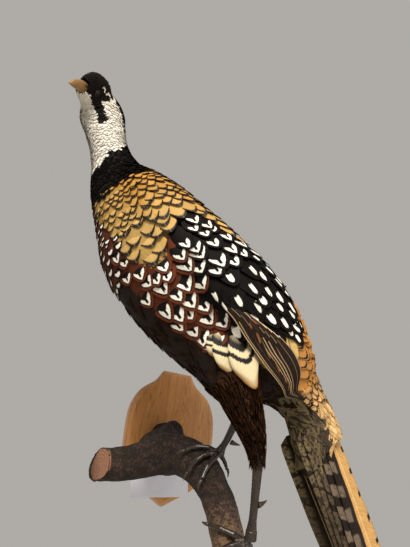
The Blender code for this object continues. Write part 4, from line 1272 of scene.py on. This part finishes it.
# ---- bare parts ---------------------------------------------------------------------------------
def loft(name, rings):
    """A closed mesh through rings of equally many points."""
    rings = np.asarray(rings)
    count, sides = rings.shape[:2]
    index = np.arange(count * sides).reshape(count, sides)
    after = np.roll(index, -1, axis=1)
    walls = np.stack([index[:-1], after[:-1], after[1:], index[1:]], -1).reshape(-1, 4)
    mesh = bpy.data.meshes.new(name)
    mesh.from_pydata(rings.reshape(-1, 3).tolist(), [],
                     [index[0][::-1].tolist()] + walls.tolist() + [index[-1].tolist()])
    made = link(name, mesh)
    edit_all(made, bpy.ops.mesh.normals_make_consistent, inside=False)
    return made


BILL_ROOT, BILL_DROOP, LOWER_TIP = 0.034, 0.0042, 0.0035
BILL_SECTIONS = np.array((  # u, culmen height, half width, depth of the lower mandible
    (0.0340, 0.0100, 0.0078, 0.0062),
    (0.0280, 0.0102, 0.0072, 0.0060),
    (0.0210, 0.0100, 0.0062, 0.0054),
    (0.0140, 0.0092, 0.0050, 0.0044),
    (0.0080, 0.0076, 0.0038, 0.0030),
    (0.0040, 0.0054, 0.0027, 0.0018),
    (0.0000, 0.0020, 0.0010, 0.0008),
))


def bill_half(name, lower):
    """The upper or the lower half of the bill; the upper has its nostrils."""
    rings = []
    angles = np.linspace(0, math.pi, 25)
    reach = np.abs(np.sin(angles)) ** 0.85
    for share in np.linspace(0, 1, 41):
        u, height, half, depth = smooth_table(BILL_SECTIONS, share)
        u = max(u, LOWER_TIP) if lower else u
        across = np.cos(angles) * half
        if lower:
            across, above = across * 0.84, 0.0004 - reach * depth
        else:
            above = -0.0004 + reach * height
            # A nostril slit with a soft lid over it, a third of the way down from the forehead.
            slit = np.exp(-(((u - 0.0265) / 0.0032) ** 2 + ((above - 0.0050) / 0.0011) ** 2))
            lid = np.exp(-(((u - 0.0275) / 0.0050) ** 2 + ((above - 0.0072) / 0.0017) ** 2))
            across = across * (1 - 0.34 * slit + 0.13 * lid)
        droop = BILL_DROOP * (1 - u / BILL_ROOT) ** 2
        rings.append(head_point(np.full(len(angles), u), across, above - droop))
    return loft(name, rings)


def horn_material(name, dark, pale, tip_from, tip_to):
    """Dry keratin, slightly see-through, with growth lines, paler from the first place to the last."""
    look = Look(name, 0.34, 0.5, Subsurface_Weight=0.12, Subsurface_Radius=(0.003, 0.0015, 0.0007))
    lines = look.noise(look.place(), 260.0, 5.0, 0.65)
    axis = Vector(tip_to) - Vector(tip_from)
    away = look.node("VectorMath", look.place(), tuple(tip_from), operation="SUBTRACT")
    along = look.node("VectorMath", away, tuple(axis / axis.length_squared), operation="DOT_PRODUCT",
                      out=1)
    blend = look.minus(look.times_plus(lines, 0.45, along), 0.22)
    return look.finish(look.ramp(blend, (0.0, dark), (0.60, pale), (1.0, pale)), lines, 0.25, 0.0004)


def build_bill():
    """Both halves of the horn bill."""
    root, tip = head_point(0.036, 0, 0.002), BILL_TIP
    look = horn_material("yellow_horn_bill", "horn_dark", "horn", root, tip)
    for name, node in (("bill_top", "bill_upper"), ("bill_bottom", "bill_lower")):
        made = bill_half(name, node == "bill_lower")
        smooth_shade(made, 50)
        finish_piece(made, replaced=(node,), material=look)


def build_eyes():
    """Glass eyes with a hazel iris, each set in a thin grey lid."""
    look = Look("glass_eye", 0.08, 0.18)
    glass = look.material
    iris = look.ramp(look.value_of("Ring"), (0.0, "pupil"), (0.29, "pupil"), (0.32, "iris"),
                     (0.54, "iris"), (0.60, "pupil"))
    glass.node_tree.links.new(iris, look.shader.inputs["Base Color"])
    look = Look("grey_eyelid_skin", 0.55, 0.4)
    wrinkle = look.noise(look.place(), 900.0, 3.0)
    lid_look = look.finish(look.ramp(wrinkle, (0.3, "lid_dark"), (0.7, "lid")), wrinkle, 0.5, 0.0003)
    for side, word in SIDES:
        low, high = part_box("eye_" + word)
        centre, out = (low + high) / 2, Vector(head_axes()[1] * side)
        turn = out.to_track_quat("Z", "Y").to_euler()
        deselect()
        bpy.ops.mesh.primitive_uv_sphere_add(segments=40, ring_count=24, radius=EYE_RADIUS,
                                             location=centre, rotation=turn)
        eye = settle("eye_ball_" + word)
        away = unit(points_of(eye) - np.array(centre)) @ np.array(out)
        mark(eye.data, "Ring", np.arccos(np.clip(away, -1, 1)) / math.pi * 2)
        smooth_shade(eye)
        finish_piece(eye, replaced=("eye_" + word,), material=glass)
        deselect()
        bpy.ops.mesh.primitive_torus_add(location=centre + out * (EYE_RADIUS * 0.62), rotation=turn,
                                         major_segments=44, minor_segments=10,
                                         major_radius=EYE_RADIUS * 0.84, minor_radius=0.0007)
        lid = settle("eyelid_" + word)
        shape_lid(lid, centre, out)
        smooth_shade(lid)
        finish_piece(lid, material=lid_look)


def shape_lid(lid, centre, out):
    """Makes the lid's opening an almond, pointed towards the bill and the ear."""
    ahead = Vector(head_axes()[0])
    forward = np.array((ahead - out * ahead.dot(out)).normalized())
    over = np.cross(np.array(out), forward)
    points = points_of(lid)
    away = points - np.array(centre)
    f, o = away @ forward, away @ over
    along = np.abs(f) / np.maximum(np.hypot(f, o), 1e-6)
    move_points(lid, points + forward * (f * 0.10 * along ** 3)[:, None] - over * (o * 0.10)[:, None])


def leg_skin_material():
    """Dry varnished leg skin: small overlapping scutes, dark in their joints."""
    look = Look("scaled_leg_skin", 0.36, 0.5, Coat_Weight=0.25, Coat_Roughness=0.3)
    scale = look.node("TexVoronoi", look.place(), sockets={"Scale": 340.0}, out=0)
    mixed = look.plus(look.times_plus(scale, -0.55, 0.38), look.noise(look.place(), 110.0, 3.0))
    shade = look.ramp(mixed, (0.35, "leg_dark"), (0.75, "leg"), (1.0, "leg_pale"))
    return look.finish(shade, mixed, 0.5, 0.0006)


def build_legs():
    """Scaled shanks, toes, claws and spurs."""
    look = leg_skin_material()
    claw_look = horn_material("dark_claw_horn", "claw", "claw_pale", (0.0, 0.0, -0.2), (0.0, 0.0, 0.2))
    turns = np.linspace(0, 2 * math.pi, 28, endpoint=False)
    # Scutes on the front overlap downwards; the back has finer rows.
    front = 0.5 + 0.5 * np.cos(turns - math.pi)
    for word, rows in LEGS.items():
        rings = []
        for share in np.linspace(HOCK_SHARE - 0.03, ANKLE_SHARE + 0.012, 150):
            middle, radius, _, across, up = leg_frame(rows, share)
            scute = (share * 58) % 1.0
            fine = (share * 116 + turns) % 1.0
            slim = np.interp(share, (HOCK_SHARE, HOCK_SHARE + 0.05, ANKLE_SHARE - 0.06, ANKLE_SHARE),
                             (0.80, 0.70, 0.70, 0.88))
            relief = 0.97 + 0.075 * front * scute ** 1.5 + 0.03 * (1 - front) * fine
            reach = (radius * slim * np.minimum(relief, 1.05))[:, None]
            rings.append(middle + reach * (np.cos(turns)[:, None] * across + np.sin(turns)[:, None] * up))
        tarsus = loft("shank_" + word, rings)
        smooth_shade(tarsus, 40)
        finish_piece(tarsus, replaced=("tarsus_" + word,), material=look)
        foot = copy_nodes(("foot_" + word,), "toes_" + word)
        remesh(foot, FOOT_VOXEL, 8)
        smooth_shade(foot)
        finish_piece(foot, replaced=("foot_" + word,), material=look)
        claws = ["claw_%s_%s" % (toe, word) for toe in ("middle", "inner", "outer", "hind")]
        for claw in claws + ["spur_" + word]:
            horn = copy_nodes((claw,), claw.replace("claw", "nail").replace("spur", "spike"))
            if claw.startswith("spur"):
                sink_spur(horn, rows)
            apply_modifier(horn, "SUBSURF", levels=2, render_levels=2)
            smooth_shade(horn)
            finish_piece(horn, replaced=(claw,), material=claw_look)


def sink_spur(spur, rows):
    """Moves a spur in towards the axis of its shank, which is slimmer here than in the solids."""
    points = points_of(spur)
    line = smooth_table(rows, np.linspace(HOCK_SHARE, ANKLE_SHARE, 80))
    away = points.mean(0) - line[:, :3]
    nearest = int(np.argmin(np.linalg.norm(away, axis=1)))
    move_points(spur, points - unit(away[nearest]) * line[nearest, 3] * 0.32)


# ---- branch, shield and card --------------------------------------------------------------------
def bark_material():
    """Dry bark, paler and mossier low on the stem, and growth rings where it is sawn."""
    look = Look("dry_bark_and_sawn_wood", 0.75, 0.3)
    place = look.place()
    coarse, fine = look.noise(place, 130.0, 6.0, 0.65), look.noise(place, 420.0, 4.0, 0.7)
    stretched = look.node("Mapping", place, sockets={"Scale": (1.0, 1.0, 2.4)})
    mossy = look.noise(stretched, 42.0, 5.0, 0.7)
    below = look.fit(look.node("SeparateXYZ", place, out=2), -0.09, -0.16, -0.10, 0.16)
    grained = look.plus(look.times_plus(coarse, 0.30, look.times(fine, 0.50)),
                        look.times_plus(mossy, 0.22, below))
    bark = look.ramp(grained, (0.38, "bark_dark"), (0.48, "bark"), (0.60, "bark_pale"))
    centred = look.node("VectorMath", place, tuple(SAWN_FACE), operation="SUBTRACT")
    radius = look.node("VectorMath", centred, operation="LENGTH", out=1)
    growth = look.maths("SINE", look.times(look.times_plus(coarse, 0.006, radius), 1500.0))
    wood = look.ramp(look.times_plus(growth, 0.3, 0.5), (0.15, "heart_dark"), (0.85, "heart"))
    shade = look.mix(look.value_of("Sawn"), bark, wood)
    return look.finish(shade, look.times_plus(coarse, 0.6, fine), 0.9, 0.0022)


def build_branch():
    """The branch with its bark raised in mesh, and a flat sawn end."""
    branch = copy_nodes(BRANCH_NODES, "cut_branch")
    deselect()
    bpy.ops.mesh.primitive_uv_sphere_add(segments=48, ring_count=24, radius=1.0, scale=KNOT_SIZE,
                                         location=KNOT_PLACE, rotation=(0.0, 0.0, KNOT_TURN))
    branch = join([bpy.context.object, branch])
    swell(branch, BRANCH_SWELL)
    remesh(branch, BRANCH_VOXEL, 24)
    swell(branch, -BRANCH_SWELL)
    # The stub grows out of the branch in one smooth swelling.
    low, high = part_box("branch_stub")
    knot = np.array(((low[0] + high[0]) / 2, low[1] + 0.034, high[2] - 0.010))
    group = branch.vertex_groups.new(name="Knot")
    for number, p in enumerate(points_of(branch)):
        near = 2.0 - float(np.linalg.norm(p - knot)) / 0.030
        group.add([number], min(1.0, max(0.0, near)) * float(p[1] < -0.026), "REPLACE")
    smooth(branch, 0.5, 260, "Knot")
    points, normals = points_of(branch), points_of(branch, "normal")
    face, facing = np.array(SAWN_FACE), np.array(SAWN_NORMAL)
    sawn = np.clip(((points - face) @ facing + 0.0030) / 0.0015, 0, 1) * (normals @ facing > 0.45)
    sawn = sawn * (np.linalg.norm(points - face, axis=1) < 0.026)
    rough = np.array([patterns.fractal(Vector(p) * 95.0, 0.8, 2.1, 4) for p in points])
    knots = np.array([patterns.noise(Vector(p) * 26.0) for p in points])
    lift = (0.0007 * rough + 0.0016 * knots) * (1 - sawn)
    # The back of the stub stays flat against the shield.
    free = np.clip((-points[:, 1] - 0.0215) / 0.004, 0, 1)
    move_points(branch, points + normals * np.clip(lift * free, -0.003, 0.0018)[:, None])
    mark(branch.data, "Sawn", sawn)
    smooth_shade(branch)
    finish_piece(branch, replaced=BRANCH_NODES, material=bark_material())


def dress_shield():
    """Varnished honey-coloured wood with upright grain."""
    look = Look("varnished_honey_wood", 0.38, 0.5, Coat_Weight=0.35, Coat_Roughness=0.22)
    stretched = look.node("Mapping", look.place(), sockets={"Scale": (1.0, 1.0, 0.07)})
    warped = look.node("VectorMath", stretched, look.noise(stretched, 38.0, 3.0), operation="ADD")
    grain = look.ramp(look.noise(warped, 46.0, 5.0, 0.6), (0.30, "honey_dark"), (0.50, "honey"),
                      (0.68, "honey_pale"))
    fine = look.noise(stretched, 900.0, 3.0, 0.7)
    shade = look.brightened(look.times_plus(fine, 0.35, 0.82), grain)
    dress("plaque_shield", look.finish(shade, fine, 0.15, 0.0005))


def dress_card():
    """A blank ticket of old lilac-white paper."""
    look = Look("uncoated_lilac_paper", 0.85, 0.25)
    fibre, stain = look.noise(look.place(), 700.0, 5.0), look.noise(look.place(), 45.0, 3.0)
    shade = look.ramp(look.times_plus(fibre, 0.4, look.times(stain, 0.6)), (0.3, "card_shade"),
                      (0.6, "card"))
    dress("label_card", look.finish(shade, fibre, 0.15, 0.0003))


# ---- stage --------------------------------------------------------------------------------------
def area_light(name, place, target, size, power, tone):
    """A round soft light that faces a target."""
    data = bpy.data.lights.new(name, "AREA")
    data.shape, data.size, data.energy, data.color = "DISK", size, power, tone
    lamp = link(name, data)
    lamp.location = place
    lamp.rotation_euler = (Vector(target) - Vector(place)).to_track_quat("-Z", "Y").to_euler()


def build_stage():
    """A pale floor well below the bird, a window light, a weaker fill and the camera."""
    scene = bpy.context.scene
    deselect()
    bpy.ops.mesh.primitive_plane_add(size=9.0, location=(0.0, 0.0, FLOOR_HEIGHT))
    floor = settle("studio_floor")
    look = Look("pale_matt_floor", 0.9, 0.2)
    speck = look.noise(look.place(), 30.0, 2.0)
    floor.data.materials.append(look.finish(look.ramp(speck, (0.4, "floor"), (0.6, "floor_pale")),
                                            speck, 0.0, 0.001))
    world = bpy.data.worlds.new("pale_studio")
    world.use_nodes = True
    background = world.node_tree.nodes["Background"]
    background.inputs["Color"].default_value = (*linear("E4E0DA"), 1.0)
    background.inputs["Strength"].default_value = 0.55
    scene.world = world
    area_light("window_key", (-0.9, -2.2, 1.5), (0.0, -0.2, 0.1), 1.2, 84.0, (1.0, 0.93, 0.84))
    area_light("room_fill", (1.9, -1.9, 0.1), (0.0, -0.2, 0.0), 1.6, 18.0, (1.0, 0.95, 0.90))
    scene.view_settings.view_transform = "Standard"
    data = bpy.data.cameras.new("view_from_below")
    camera = link("view_from_below", data)
    right, down, forward = (Vector(v).normalized() for v in CAMERA_AXES)
    turn = Matrix((right, -down, -forward)).transposed().to_4x4()
    camera.matrix_world = Matrix.Translation(CAMERA_PLACE) @ turn
    data.sensor_fit = "VERTICAL"
    data.sensor_height = 36.0
    data.lens = 36.0 * CAMERA_LENS
    data.clip_start = 0.01
    scene.camera = camera


# ---- add-on -------------------------------------------------------------------------------------
class PheasantSizes(bpy.types.PropertyGroup):
    coat_depth: FloatProperty(name="Coat depth", description="Skin to feather tips", default=0.0035,
                              unit="LENGTH")


def shade_property(label, code):
    return FloatVectorProperty(name=label, description=label + " colour", size=3, subtype="COLOR",
                               min=0.0, max=1.0, default=linear(code))


class PheasantColours(bpy.types.PropertyGroup):
    white: shade_property("Neck white", "F0EBDF")
    shaft_pale: shade_property("Pale shaft", "E1D7BF")
    shaft_dark: shade_property("Dark shaft", "27211A")
    pupil: shade_property("Pupil", "060606")
    floor: shade_property("Floor", "D9D6D0")
    floor_pale: shade_property("Floor speck", "DFDCD6")
    cream_white: shade_property("Throat cream", "D9CCA8")
    black: shade_property("Collar black", "0A0706")
    gold: shade_property("Mantle gold", "BA8738")
    pale_gold: shade_property("Pale gold", "C6A562")
    orange: shade_property("Rump orange", "B47C38")
    chestnut: shade_property("Flank chestnut", "5E2C16")
    rufous: shade_property("Rufous", "8A5A38")
    cream: shade_property("Cream", "D8C8A0")
    dark: shade_property("Belly black-brown", "26190F")
    grey_brown: shade_property("Quill grey-brown", "241912")
    quill_dark: shade_property("Quill tip", "1D140E")
    quill_edge: shade_property("Quill edge", "E8C99C")
    # Painted shade for the rims of the white scale feathers.
    scale_edge: shade_property("Neck scale painted shade", "2A2018")
    tail_silver: shade_property("Tail silver", "6A5C4E")
    tail_grey: shade_property("Tail grey-brown", "54483A")
    tail_olive: shade_property("Tail olive-buff", "6A5D42")
    tail_gold: shade_property("Tail gold", "D0AA74")
    tail_root: shade_property("Tail dark brown", "3A2F25")
    horn: shade_property("Bill horn", "8C6838")
    horn_dark: shade_property("Bill root", "3E2A18")
    iris: shade_property("Iris hazel", "1C0F07")
    lid: shade_property("Eyelid", "221C18")
    lid_dark: shade_property("Eyelid fold", "15100D")
    leg: shade_property("Leg brown", "2C1E16")
    leg_dark: shade_property("Scute joint", "1C120C")
    leg_pale: shade_property("Scute edge", "54402F")
    claw: shade_property("Claw horn", "241A14")
    claw_pale: shade_property("Claw ridge", "4A3A2E")
    bark: shade_property("Bark", "42322A")
    bark_dark: shade_property("Bark furrow", "1E150F")
    bark_pale: shade_property("Bark ridge", "7E6549")
    heart: shade_property("Sawn wood", "A67C62")
    heart_dark: shade_property("Growth ring", "8C6048")
    honey: shade_property("Shield wood", "BE8246")
    honey_dark: shade_property("Shield grain", "96622E")
    honey_pale: shade_property("Shield light grain", "D09852")
    card: shade_property("Ticket", "F4F5FF")
    card_shade: shade_property("Ticket shade", "E6E8FA")


class PHEASANT_OT_stage(bpy.types.Operator):
    """Builds the floor, lights and camera"""
    bl_idname = "pheasant.stage"
    bl_label = "Stage"

    def execute(self, context):
        build_stage()
        return {"FINISHED"}


class PHEASANT_OT_shield(bpy.types.Operator):
    """Gives the wall shield its wood and the ticket its paper"""
    bl_idname = "pheasant.shield"
    bl_label = "Shield and ticket"

    def execute(self, context):
        dress_shield()
        dress_card()
        return {"FINISHED"}


class PHEASANT_OT_branch(bpy.types.Operator):
    """Raises the bark and saws the end of the branch"""
    bl_idname = "pheasant.branch"
    bl_label = "Branch"

    def execute(self, context):
        build_branch()
        return {"FINISHED"}


class PHEASANT_OT_skin(bpy.types.Operator):
    """Builds the one skin under the feathers"""
    bl_idname = "pheasant.skin"
    bl_label = "Skin"

    def execute(self, context):
        raise_form()
        raise_skin()
        return {"FINISHED"}


class PHEASANT_OT_bill(bpy.types.Operator):
    """Shapes the two halves of the bill"""
    bl_idname = "pheasant.bill"
    bl_label = "Bill"

    def execute(self, context):
        build_bill()
        return {"FINISHED"}


class PHEASANT_OT_eyes(bpy.types.Operator):
    """Sets the glass eyes in their lids"""
    bl_idname = "pheasant.eyes"
    bl_label = "Eyes"

    def execute(self, context):
        build_eyes()
        return {"FINISHED"}


class PHEASANT_OT_legs(bpy.types.Operator):
    """Builds shanks, toes, claws and spurs"""
    bl_idname = "pheasant.legs"
    bl_label = "Legs"

    def execute(self, context):
        build_legs()
        return {"FINISHED"}


class PHEASANT_OT_coat(bpy.types.Operator):
    """Lays the feathers of head, neck, trunk and thighs"""
    bl_idname = "pheasant.coat"
    bl_label = "Coat"

    def execute(self, context):
        trunk_feathers()
        cream_feathers()
        head_feathers()
        thigh_feathers()
        return {"FINISHED"}


class PHEASANT_OT_wings(bpy.types.Operator):
    """Lays the folded flight feathers"""
    bl_idname = "pheasant.wings"
    bl_label = "Wings"

    def execute(self, context):
        wing_quills()
        return {"FINISHED"}


class PHEASANT_OT_tail(bpy.types.Operator):
    """Builds the long tail and its coverts"""
    bl_idname = "pheasant.tail"
    bl_label = "Tail"

    def execute(self, context):
        tail_feathers()
        tail_coverts()
        return {"FINISHED"}


OPERATORS = (PHEASANT_OT_stage, PHEASANT_OT_shield, PHEASANT_OT_branch, PHEASANT_OT_skin,
             PHEASANT_OT_bill, PHEASANT_OT_eyes, PHEASANT_OT_legs, PHEASANT_OT_coat,
             PHEASANT_OT_wings, PHEASANT_OT_tail)


class PHEASANT_PT_panel(bpy.types.Panel):
    bl_label = "Mounted pheasant"
    bl_idname = "PHEASANT_PT_panel"
    bl_space_type = "VIEW_3D"
    bl_region_type = "UI"
    bl_category = "Pheasant"

    def draw(self, context):
        for kind in OPERATORS:
            self.layout.operator(kind.bl_idname)


CLASSES = (PheasantSizes, PheasantColours) + OPERATORS + (PHEASANT_PT_panel,)


def register():
    for kind in CLASSES:
        bpy.utils.register_class(kind)
    bpy.types.Scene.pheasant_sizes = PointerProperty(type=PheasantSizes)
    bpy.types.Scene.pheasant_colours = PointerProperty(type=PheasantColours)


def unregister():
    del bpy.types.Scene.pheasant_colours
    del bpy.types.Scene.pheasant_sizes
    for kind in reversed(CLASSES):
        bpy.utils.unregister_class(kind)


def main():
    register()
    for kind in OPERATORS:
        group, name = kind.bl_idname.split(".")
        getattr(getattr(bpy.ops, group), name)()


if __name__ == "__main__":
    main()
